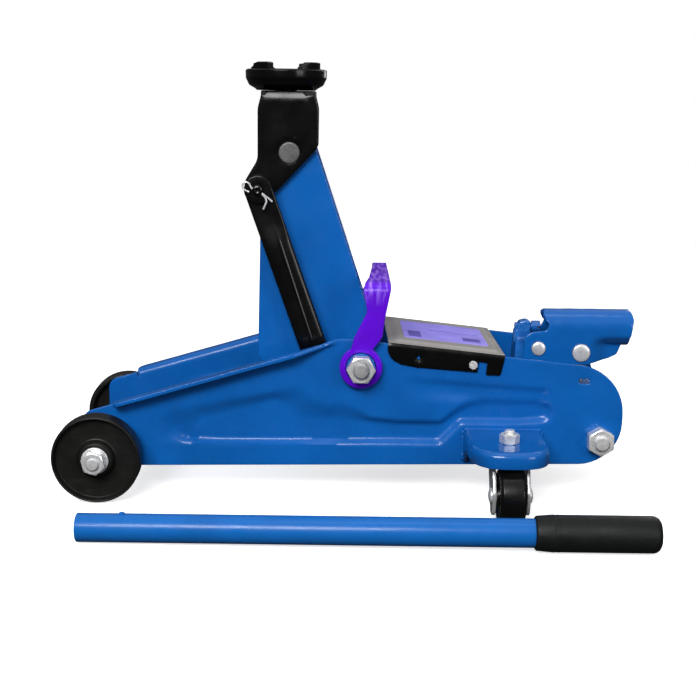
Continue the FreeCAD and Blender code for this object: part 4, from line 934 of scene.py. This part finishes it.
make_sides("castor_shelf", shelf, ("frame", "frame"), SOCKET_BLUE,
           ("castor_bracket_left", "castor_bracket_right"), 40)
for weld_side, weld_wrap in (("left", lambda p: p), ("right", flipped)):
    make("castor_weld_%s" % weld_side, lambda bm, wrap=weld_wrap: weld(bm, wrap), "frame",
         BLUE)
make_sides("castor_fork", castor_fork, ("castor_left", "castor_right"), FORK_ZINC,
           ("castor_fork_left", "castor_fork_right"))
make_sides("castor_axle", castor_axle, ("castor_left", "castor_right"), ZINC,
           ("castor_axle_left", "castor_axle_right"))
make_sides("castor_wheel", castor_wheel, ("castor_roll_left", "castor_roll_right"),
           CASTOR_BLACK, ("castor_wheel_left", "castor_wheel_right"))
make("kingpin_nuts_look", kingpin_nuts, "frame", ZINC, ["kingpin_nuts"], 24)
make("kingpins_look", kingpins, "frame", ZINC, ["kingpins"], 24)


# ---------------------------------------------------------------- lift arm
def lift_arm(bm):
    cheek = rounded([
        (-36.6, 266.1, 8), (8, 134, 30), (17.5, 108, 8), (17.5, 94, 8), (-17.9, 60.8, 8),
        (-35.9, 57.8, 6), (-42.9, 67.8, 6), (-80, 102, 10), (-78, 216, 40), (-70.1, 264, 8),
        (-65.1, 273, 6), (-43.1, 274, 8)], 8)
    holes = [ring(*PIVOT, 8.06), ring(*ARM_PIN, 8.06, 40), ring(-28.87, 69.79, 5.0)]
    for place in both(left_side(20)):
        add_slab(bm, cheek, 0, 4.5, place, holes, bevel=0.9, spacing=9.0, longest=9.0,
                 relief=lambda x, y, _s: 0.1 * noise.noise(Vector((x * 0.02, y * 0.02, 4.0))))
    web = rounded([(-37.4, 262), (7.2, 134, 40), (12.8, 118.5), (8.6, 117.2), (3.0, 132.6, 40),
                   (-41.6, 260.6)], 8)
    add_slab(bm, web, -20.4, 20.4, left_side(0), bevel=0.6)
    add_lathe(bm, [(8.06, -21), (13.5, -21, 0.8), (13.5, 21, 0.8), (8.06, 21)],
              local((0, 0, 103), (0, -1, 0)), closed=True)


def arm_seam(bm):
    """Weld beads between the web and each cheek."""
    corner = [(-37.9, 260), (-20, 208), (7.4, 131), (11.6, 119.5)]
    for side in (-1, 1):
        path = spline([(x + 0.2, side * 20.6, z) for x, z in corner], 30)
        add_wire(bm, path, 1.0, 8, lambda i: 0.3 * noise.noise(Vector((i * 0.5, side, 2.0))))


make("lift_arm_look", lift_arm, "arm", BLUE, ["lift_arm"])
make("lift_arm_seams", arm_seam, "arm", BLUE)


# ---------------------------------------------------------------- levelling links
LINK_RUN = Vector((LINK_EYE[0] - LINK_FOOT[0], 0, LINK_EYE[1] - LINK_FOOT[1]))
LINK_LENGTH = LINK_RUN.length
HALF = 10.6


def rib_at(x):
    """Where the thin forged rib runs across the width, at a distance from the foot."""
    return 0.4 - 3.9 * x / LINK_LENGTH


def crowned(x, y, share):
    """Outer face of a link: flat round each eye, crowned like a flattened tube between them."""
    body = smooth(x, 26, 46) * (1 - smooth(x, LINK_LENGTH - 46, LINK_LENGTH - 26))
    flat = -1.6
    hump = -1.8 * (abs(y) / HALF) ** 3 + 0.55 * math.exp(-((y - rib_at(x)) / 0.9) ** 2)
    return share * (flat + (hump - flat) * body)


def link(bm, wrap):
    place = wrap(local((LINK_FOOT[0], -31.0, LINK_FOOT[1]), (0, -1, 0), LINK_RUN))
    outline = slot_shape(0, LINK_LENGTH, 0, HALF, 20)
    holes = [ring(0, 0, 4.3), ring(LINK_LENGTH, 0, 4.3)]
    rib = [(x, rib_at(x) + off) for x in np.arange(20, LINK_LENGTH - 18, 2.0)
           for off in (-2.2, -1.4, -0.9, -0.45, 0.0, 0.45, 0.9, 1.4, 2.2)]
    add_slab(bm, outline, 0, 8.4, place, holes, bevel=1.5, spacing=2.2, longest=3.0,
             relief=crowned, steps=5, guides=rib)


def link_pins(bm):
    for place in both(left_side(0, *LINK_EYE)):
        add_lathe(bm, [(0, 25.5), (4, 25.5, 0.3), (4, 44.4, 1.2), (2.2, 45, 0.6), (1.2, 44.7, 0.3),
                       (0, 44.5)], place, count=40)


def link_washers(bm):
    for place in both(left_side(39.7, *LINK_EYE)):
        add_lathe(bm, [(4.05, 0), (10.4, 0, 0.2), (10.4, 1.3, 0.6), (4.05, 1.3, 0.2)], place,
                  closed=True)


def split_pins(bm):
    """Wire looped into an eye on one side of the pin, its two legs bent apart on the other."""
    x, z = LINK_EYE
    eye = [(-4.0, 1.0), (-5.2, 2.6), (-6.3, 4.7), (-8.4, 5.9), (-10.4, 5.0), (-11.2, 3.0),
           (-10.2, 0.6), (-8.2, -0.7), (-6.4, -1.4)]
    legs = ([(3.4, -2.4), (5.0, -3.6), (8.2, -6.0), (11.0, -8.4)],
            [(3.4, -3.2), (5.6, -5.4), (6.6, -8.6), (5.6, -11.4), (4.4, -14.2)])
    for mirror in (-1, 1):
        for run in (eye, *legs):
            path = spline([(x + a, mirror * 43.1, z + b) for a, b in run], 8)
            add_wire(bm, path, 0.72, 10)
        add_wire(bm, spline([(x - 4.4, mirror * 43.1, z + 1.4), (x, mirror * 43.1, z - 0.6),
                             (x + 3.8, mirror * 43.1, z - 2.8)], 8), 0.85, 10)


make_sides("link", link, ("level_link_left", "level_link_right"), LINK_BLACK,
           ("link_left", "link_right"))
make("link_pins_look", link_pins, "saddle_carrier", LINK_BLACK, ["link_pins"])
make("link_washers_look", link_washers, "saddle_carrier", LINK_BLACK,
     ["link_washers"])
make("split_pins_look", split_pins, "saddle_carrier", ZINC, ["split_pins"])


# ---------------------------------------------------------------- saddle and its bracket
def saddle_bracket(bm):
    """One plate bent down on both sides, with an ear for each link."""
    out, roll, top, wall = 30.0, 4.5, 307.0, 4.5
    flat, arc = out - roll, roll * math.pi / 2

    def bent(x, u, w):
        side, u = (1 if u > 0 else -1), abs(u)
        angle = min(math.pi / 2, max(0.0, u - flat) / roll)
        rest = max(0.0, u - flat - arc)
        return Vector((x, side * (min(u, flat) + (roll + w) * math.sin(angle)),
                       top - roll + (roll + w) * math.cos(angle) - rest))

    def down(z):
        return flat + arc + (top - roll - z)

    front = [(-77.6, 303, 3), (-80, 294, 20), (-80, 255.6, 14), (-89.7, 239.5, 11),
             (-90.3, 228.5, 11), (-80.5, 222.4, 11)]
    back = [(-71.5, 225.4, 6), (-34.8, 264.6, 4), (-34.6, 294, 20), (-36.8, 303, 3)]
    half = [(x, down(z), r) for x, z, r in front + back]
    outline = rounded(half + [(x, -u, r) for x, u, r in half[::-1]], 6)
    holes = [ring(-59.7, 0, 8.1)]
    for side in (-1, 1):
        holes.append(ring(ARM_PIN[0], side * down(ARM_PIN[1]), 8.0, 40))
        holes.append(ring(LINK_EYE[0], side * down(LINK_EYE[1]), 4.0, 24))
    add_slab(bm, outline, -wall + 0.01, 0.0, bent, holes, bevel=0.7, spacing=5.0, longest=3.0,
             relief=lambda x, u, _s: 0.1 * noise.noise(Vector((x * 0.05, u * 0.05, 8.0))))


def arm_pin(bm):
    add_lathe(bm, [(0, -31.5), (7.2, -31.5, 0.5), (8.0, -30.9, 0.3), (8.0, 30.9, 0.3),
                   (7.2, 31.5, 0.5), (0, 31.5)],
              local((ARM_PIN[0], 0, ARM_PIN[1]), (0, -1, 0)), count=72)


def saddle(bm):
    at = (-59.7, 0, 0)
    place = local(at, (0, 0, 1))
    add_lathe(bm, [
        (0, 294), (7.2, 294, 0.6), (8, 295, 0.4), (8, 307.3), (22.5, 307.3, 0.6),
        (24.0, 308.6, 1.0), (28.6, 311.2, 3), (31.1, 316.4, 3),
        (31.3, 322.2, 0.9), (29.6, 323.2, 0.8), (26.6, 322.2, 1.6), (23.8, 317.2, 2.5),
        (0, 316.8)], place, count=128)
    for quarter in range(4):
        start = math.radians(45 + 90 * quarter - 19)
        points = []
        for k in range(11):
            turn = start + math.radians(38) * k / 10
            points.append((29.2 * math.cos(turn), 29.2 * math.sin(turn)))
        for k in range(10, -1, -1):
            turn = start + math.radians(38) * k / 10
            points.append((20.6 * math.cos(turn), 20.6 * math.sin(turn)))

        def ramp(x, y, share, start=start):
            turn = (math.atan2(y, x) - start) % math.tau
            return -share * 3.6 * (1 - smooth(turn, 0.0, 0.30))
        add_slab(bm, points, 316.0, 328.2, place, bevel=1.1, spacing=2.0, longest=1.6,
                 relief=ramp)


make("saddle_bracket_look", saddle_bracket, "saddle_carrier", BLACK,
     ["saddle_bracket"])
make("arm_pin_look", arm_pin, "saddle_carrier", PIN_STEEL, ["arm_pin"])
make("saddle_look", saddle, "saddle_dish", BLACK, ["saddle"])


# ---------------------------------------------------------------- cover and its label
TILT = math.radians(5.9)


def on_cover(x, y, z):
    return Vector((20.6 + x * math.cos(TILT) + z * math.sin(TILT), y,
                   122.1 - x * math.sin(TILT) + z * math.cos(TILT)))


def cover(bm):
    out, roll, wall = 58.6, 2.4, 1.5
    flat, arc = out - roll, roll * math.pi / 2

    def bent(x, u, w):
        side, u = (1 if u > 0 else -1), abs(u)
        angle = min(math.pi / 2, max(0.0, u - flat) / roll)
        rest = max(0.0, u - flat - arc)
        return on_cover(x, side * (min(u, flat) + (roll + w) * math.sin(angle)),
                        -roll + (roll + w) * math.cos(angle) - rest)

    def down(z):
        return flat + arc + (-roll - z)

    def panel(x, u, _share):
        edge = min(x - 5.5, 84.5 - x, 50.5 - abs(u))
        dimple = math.hypot(x - 24.5, abs(u) - down(-10.0))
        return 1.2 * smooth(edge, 0.0, 1.4) - 1.6 * (1 - smooth(dimple, 1.6, 3.4))

    skirt = [(0, -2.4, 1), (0, -6.4, 10), (3.4, -12.5, 9), (11, -16.0, 12), (24, -17.0, 20),
             (70, -15.6, 1.0), (70, -7.4, 0.6), (76.6, -7.4, 0.6), (76.6, -17.0, 1.0),
             (87.8, -16.0, 2.2), (89.2, -2.4, 1.0)]
    half = [(x, down(z), r) for x, z, r in skirt]
    outline = rounded(half[::-1] + [(x, -u, r) for x, u, r in half], 5)
    holes = []
    for side in (-1, 1):
        holes.append(ring(66.0, side * down(-10.2), 2.0, 20))
    add_slab(bm, outline, -wall, 0.0, bent, holes, bevel=0.35, spacing=2.4, relief=panel)


def label(bm):
    add_slab(bm, rounded([(13, -36, 1.5), (79, -36, 1.5), (79, 36, 1.5), (13, 36, 1.5)]),
             1.22, 1.46, on_cover, bevel=0.08)


def label_bands(bm):
    """Plain raised bars on the film, with no lettering."""
    for x0, x1, y0, y1 in ((17, 27, -30, -6), (34, 75, 3.0, 4.4), (60, 74, -27, -14)):
        add_slab(bm, rounded([(x0, y0, 0.6), (x1, y0, 0.6), (x1, y1, 0.6), (x0, y1, 0.6)]),
                 1.42, 1.54, on_cover, bevel=0.04)


def cover_screws(bm):
    """Round heads with a driver slot."""
    for wrap in (lambda p: p, flipped):
        place = wrap(left_side(58.6, 85.2, 105.2))
        add_lathe(bm, [(0, -7), (1.9, -7), (1.9, 0), (3.2, 0, 0.1), (3.2, 0.8), (0, 0.8)], place,
                  count=40)
        for half in (0.0, math.pi):
            arc = [Vector((3.1 * math.cos(half + 0.20 + 2.74 * k / 16),
                           3.1 * math.sin(half + 0.20 + 2.74 * k / 16))) for k in range(17)]
            arc = [Vector((p.x * 0.64 + p.y * 0.77, p.y * 0.64 - p.x * 0.77)) for p in arc]
            add_slab(bm, arc, 0.75, 1.9, place, bevel=0.15)


def cover_reflection_split(piece):
    """The flat top is painted grey-brown as a painted reflection of the pale surroundings on its black
    gloss paint; the skirts stay black.
    """
    piece.data.materials.append(BLACK)
    for face in piece.data.polygons:
        low = min(abs(piece.data.vertices[k].co.y) for k in face.vertices)
        if low > 0.0572 or abs(face.normal.y) > 0.75:
            face.material_index = 1


cover_reflection_split(make("cover_plate_look", cover, "frame", COVER_TOP_REFLECTION,
                     ["cover_plate"]))
make("cover_label_look", label, "frame", LABEL, ["cover_label"])
make("cover_label_bands", label_bands, "frame",
     enamel("band_violet", (0.12, 0.09, 0.42), 0.3, 0.5, coat=0.1))
make("cover_screws_look", cover_screws, "frame", ZINC, ["cover_screws"])


# ---------------------------------------------------------------- handle socket and pump
def handle_socket(bm):
    """Plate arched over the handle: full tube at the rear, pinched cheeks below it."""
    mid, up, wall = 14.5, 125.2, 3.5
    arc = mid * math.pi / 2

    def bent(x, u, w):
        side, u = (1 if u > 0 else -1), abs(u)
        angle = min(math.pi / 2, u / mid)
        rest = max(0.0, u - arc)
        reach = (mid + w) * math.sin(angle)
        pinch = smooth(x, 180, 200) * smooth(rest, 5, 14)
        reach = reach * (1 - 0.62 * pinch)
        return Vector((x, side * reach, up + (mid + w) * math.cos(angle) - rest))

    def down(z):
        return arc + (up - z)

    front = [(147.0, 0.4), (145.2, 9.0, 3), (147.4, 16.0, 3), (149.8, 19.0, 3),
             (147.5, down(124.0), 2.5), (136, down(122.6), 5), (130.6, down(119), 4)]
    under = [(129.2, down(101), 4), (133, down(97.2), 4), (180, down(96.8), 20),
             (199, down(100.6), 6), (206, down(104), 4), (209.4, down(113.2), 5),
             (214.8, down(119.0), 6), (217.0, 14, 6), (215.0, 0.4)]
    right = front + under
    outline = rounded(right + [(p[0], -p[1], *p[2:]) for p in right[::-1]], 5)
    holes = []
    for side in (-1, 1):
        holes.append(ring(141.5, side * down(109.8), 5.5, 32))
        holes.append(ring(175.6, side * down(106.7), 7.0, 36))
    add_slab(bm, outline, -wall, 0.0, bent, holes, bevel=0.8, spacing=2.2,
             relief=lambda x, u, _s: 0.25 * noise.noise(Vector((x * 0.09, u * 0.09, 2.0))))
    lower = [(190.5, -30), (214.5, -30, 4), (214.5, 30, 4), (190.5, 30)]

    def belly(x, u, w):
        angle = math.pi + u / (mid - 0.2)
        reach = mid - 0.2 + w
        return Vector((x, reach * math.sin(angle), up + reach * math.cos(angle)))

    add_slab(bm, rounded([(x, y * 0.76, *r) for x, y, *r in lower], 5), -wall + 0.3, 0.0, belly,
             bevel=0.7, spacing=2.4)


def pin_ends(radius, across, up, neck=None):
    """A pin with domed ends, and a thinner neck in its middle where asked."""
    def build(bm):
        dome = [(radius * math.sin(math.radians(a)), 15.7 + 1.4 * math.cos(math.radians(a)))
                for a in range(0, 91, 6)]
        middle = [(radius, -9.5), (neck, -9.5), (neck, 9.5), (radius, 9.5)] if neck else []
        add_lathe(bm, [(x, -y) for x, y in dome] + middle + dome[::-1],
                  local((across, 0, up), (0, -1, 0)), count=72)
    return build


def pump_lug(bm):
    lump = lambda x, y, _s: 0.2 * noise.noise(Vector((x * 0.14, y * 0.14, 5.0)))
    foot = rounded([(122, 80), (151.4, 80), (151.4, 106.7, 1), (148.6, 113.1, 2),
                    (145.7, 117.6, 2), (124.2, 117.8, 3)])
    crest = rounded([(123.0, 112), (123.2, 121.5, 3), (127.2, 129.8, 3), (132.6, 131.0, 2),
                     (136.2, 129.6, 2), (137.0, 112)])
    hole = [ring(141.5, 109.8, 5.56, 32)]
    add_slab(bm, foot, -10.6, 10.6, left_side(0), hole, bevel=0.7, spacing=2.4, relief=lump)
    add_slab(bm, crest, -5, 5, left_side(0), bevel=1.8, spacing=2.0, relief=lump)


make("handle_socket_look", handle_socket, "socket", SOCKET_BLUE,
     ["handle_socket"], 40)
make("socket_pivot_pin_look", pin_ends(5.5, 141.5, 109.8), "socket", ZINC,
     ["socket_pivot_pin"])
make("socket_press_pin_look", pin_ends(7.0, 175.6, 106.7, 4.5), "socket", ZINC,
     ["socket_press_pin"])
make("pump_lug_look", pump_lug, "frame", CASTING, ["pump_lug"], 40)


# ---------------------------------------------------------------- carry handle
def carry_handle(bm):
    """Strip bent to a U over the frame, a ring round the pivot collar at each end."""
    out, roll, top, wall = 63.6, 8.0, 167.5, 4.0
    flat, arc = out - roll, roll * math.pi / 2

    def bent(x, u, w):
        side, u = (1 if u > 0 else -1), abs(u)
        angle = min(math.pi / 2, max(0.0, u - flat) / roll)
        rest = max(0.0, u - flat - arc)
        return Vector((x, side * (min(u, flat) + (roll + w) * math.sin(angle)),
                       top - roll + (roll + w) * math.cos(angle) - rest))

    def down(z):
        return flat + arc + (top - roll - z)

    def leg(side):
        """The ring's outline joined to the leg, from the leg's rear edge round to its front."""
        start, end = math.radians(58), math.radians(118)
        count = 44
        sweep = math.tau - (end - start)
        points = [(16.2 * math.cos(start - sweep * k / count),
                   side * down(103 + 16.2 * math.sin(start - sweep * k / count)))
                  for k in range(count + 1)]
        return points

    near_front = [(-5.6, -down(125.5), 10), (-2.0, -down(133), 10), (4.2, -down(145.6), 8),
                  (1.0, -down(161.0), 3), (5.6, -flat * 0.55, 60), (10.8, flat * 0.9, 10)]
    far_front = [(10.4, down(158), 8), (4.2, down(145.6), 8), (-2.0, down(133), 10),
                 (-5.6, down(125.5), 10)]
    far_rear = [(16.1, down(126.5), 10), (16.4, down(133.3), 10), (18.1, down(143.9), 10),
                (22.6, down(158), 8)]
    near_rear = [(21.6, -flat, 20), (21.7, -down(163), 10), (18.1, -down(143.9), 10),
                 (16.4, -down(133.3), 10), (16.1, -down(126.5), 10)]
    outline = rounded([*leg(-1), *near_front, *far_front, *leg(1)[::-1], *far_rear, *near_rear], 5)
    holes = [ring(0, side * down(103), 11.5, 40) for side in (-1, 1)]
    add_slab(bm, outline, -wall, 0.0, bent, holes, bevel=0.9, spacing=3.0, longest=3.0)


make("carry_handle_look", carry_handle, "bail", VIOLET, ["carry_handle"], 40)


# ---------------------------------------------------------------- loose handle
YAW, RISE = math.radians(-1.9), math.radians(0.54)
BAR_AXIS = (math.cos(RISE) * math.cos(YAW), math.cos(RISE) * math.sin(YAW), math.sin(RISE))
ON_BAR = local((-196.0, -162.6, 10.05), BAR_AXIS, (0, 0, 1))


def handle_bar(bm):
    add_lathe(bm, [(8.2, 0, 0.3), (10, 0, 0.6), (10, 385, 0.6), (8.2, 385, 0.3)], ON_BAR,
              closed=True, count=72)


def handle_grip(bm):
    add_lathe(bm, [
        (0, 385.2), (10.02, 385.2), (10.02, 314.3), (10.8, 314.1, 0.4), (11.9, 315.2, 0.6),
        (12.75, 324.8, 1.5), (12.9, 326.6, 0.4), (12.75, 327.6, 0.3), (12.8, 365, 30),
        (12.75, 399.9, 5.5), (0, 399.9)], ON_BAR, count=96)
    add_lathe(bm, [(12.7, 329.2, 0.2), (12.95, 330.0, 0.3), (12.7, 330.8, 0.2)], ON_BAR,
              closed=True, count=96)


def handle_button(bm):
    add_lathe(bm, [(0, 9.0), (2.0, 9.0), (2.0, 11.1, 0.7), (0, 11.5)],
              local(ON_BAR(0, 0, 31.5), ON_BAR(1, 0, 0) - ON_BAR(0, 0, 0)), count=28)


make("handle_bar_look", handle_bar, "loose_handle", TUBE_BLUE, ["handle_bar"])
make("handle_grip_look", handle_grip, "loose_handle", GRIP_BLACK,
     ["handle_grip"])
make("handle_button_look", handle_button, "loose_handle", TUBE_BLUE,
     ["handle_button"])


# ---------------------------------------------------------------- carried-over CAD nodes
def finish_nodes():
    slots = {row["node"]: row["material_slot"] for row in frame["record"]["subparts"]}
    # painted shade: the release valve takes the dark casting paint because it sits in shadow between
    # the lug and the socket; the pump block is a real casting
    special = {"pump_block": CASTING, "release_valve": CASTING, "thrust_washers": FORK_ZINC}
    for name, node in NODES.items():
        if node.hide_render:
            continue
        node.data.materials.clear()
        node.data.materials.append(special.get(name, SLOT_FINISH[slots[name]]))


finish_nodes()
add_world()
add_floor()
add_softbox("key", (-0.6, -2.1, 1.5), (0, 0, 0.12), 1.4, 0.8, 64, 0.22)
add_softbox("fill", (1.7, -2.0, 0.8), (0, 0, 0.10), 0.9, 1.2, 16, 0.5)
add_softbox("top", (0.1, -0.3, 2.2), (0, 0, 0.1), 1.2, 0.5, 3, 1.0)
add_softbox("rim", (1.2, 1.9, 1.0), (0, 0, 0.15), 0.6, 1.6, 9, 0.8)
add_camera()
SCENE.view_settings.view_transform = "Standard"
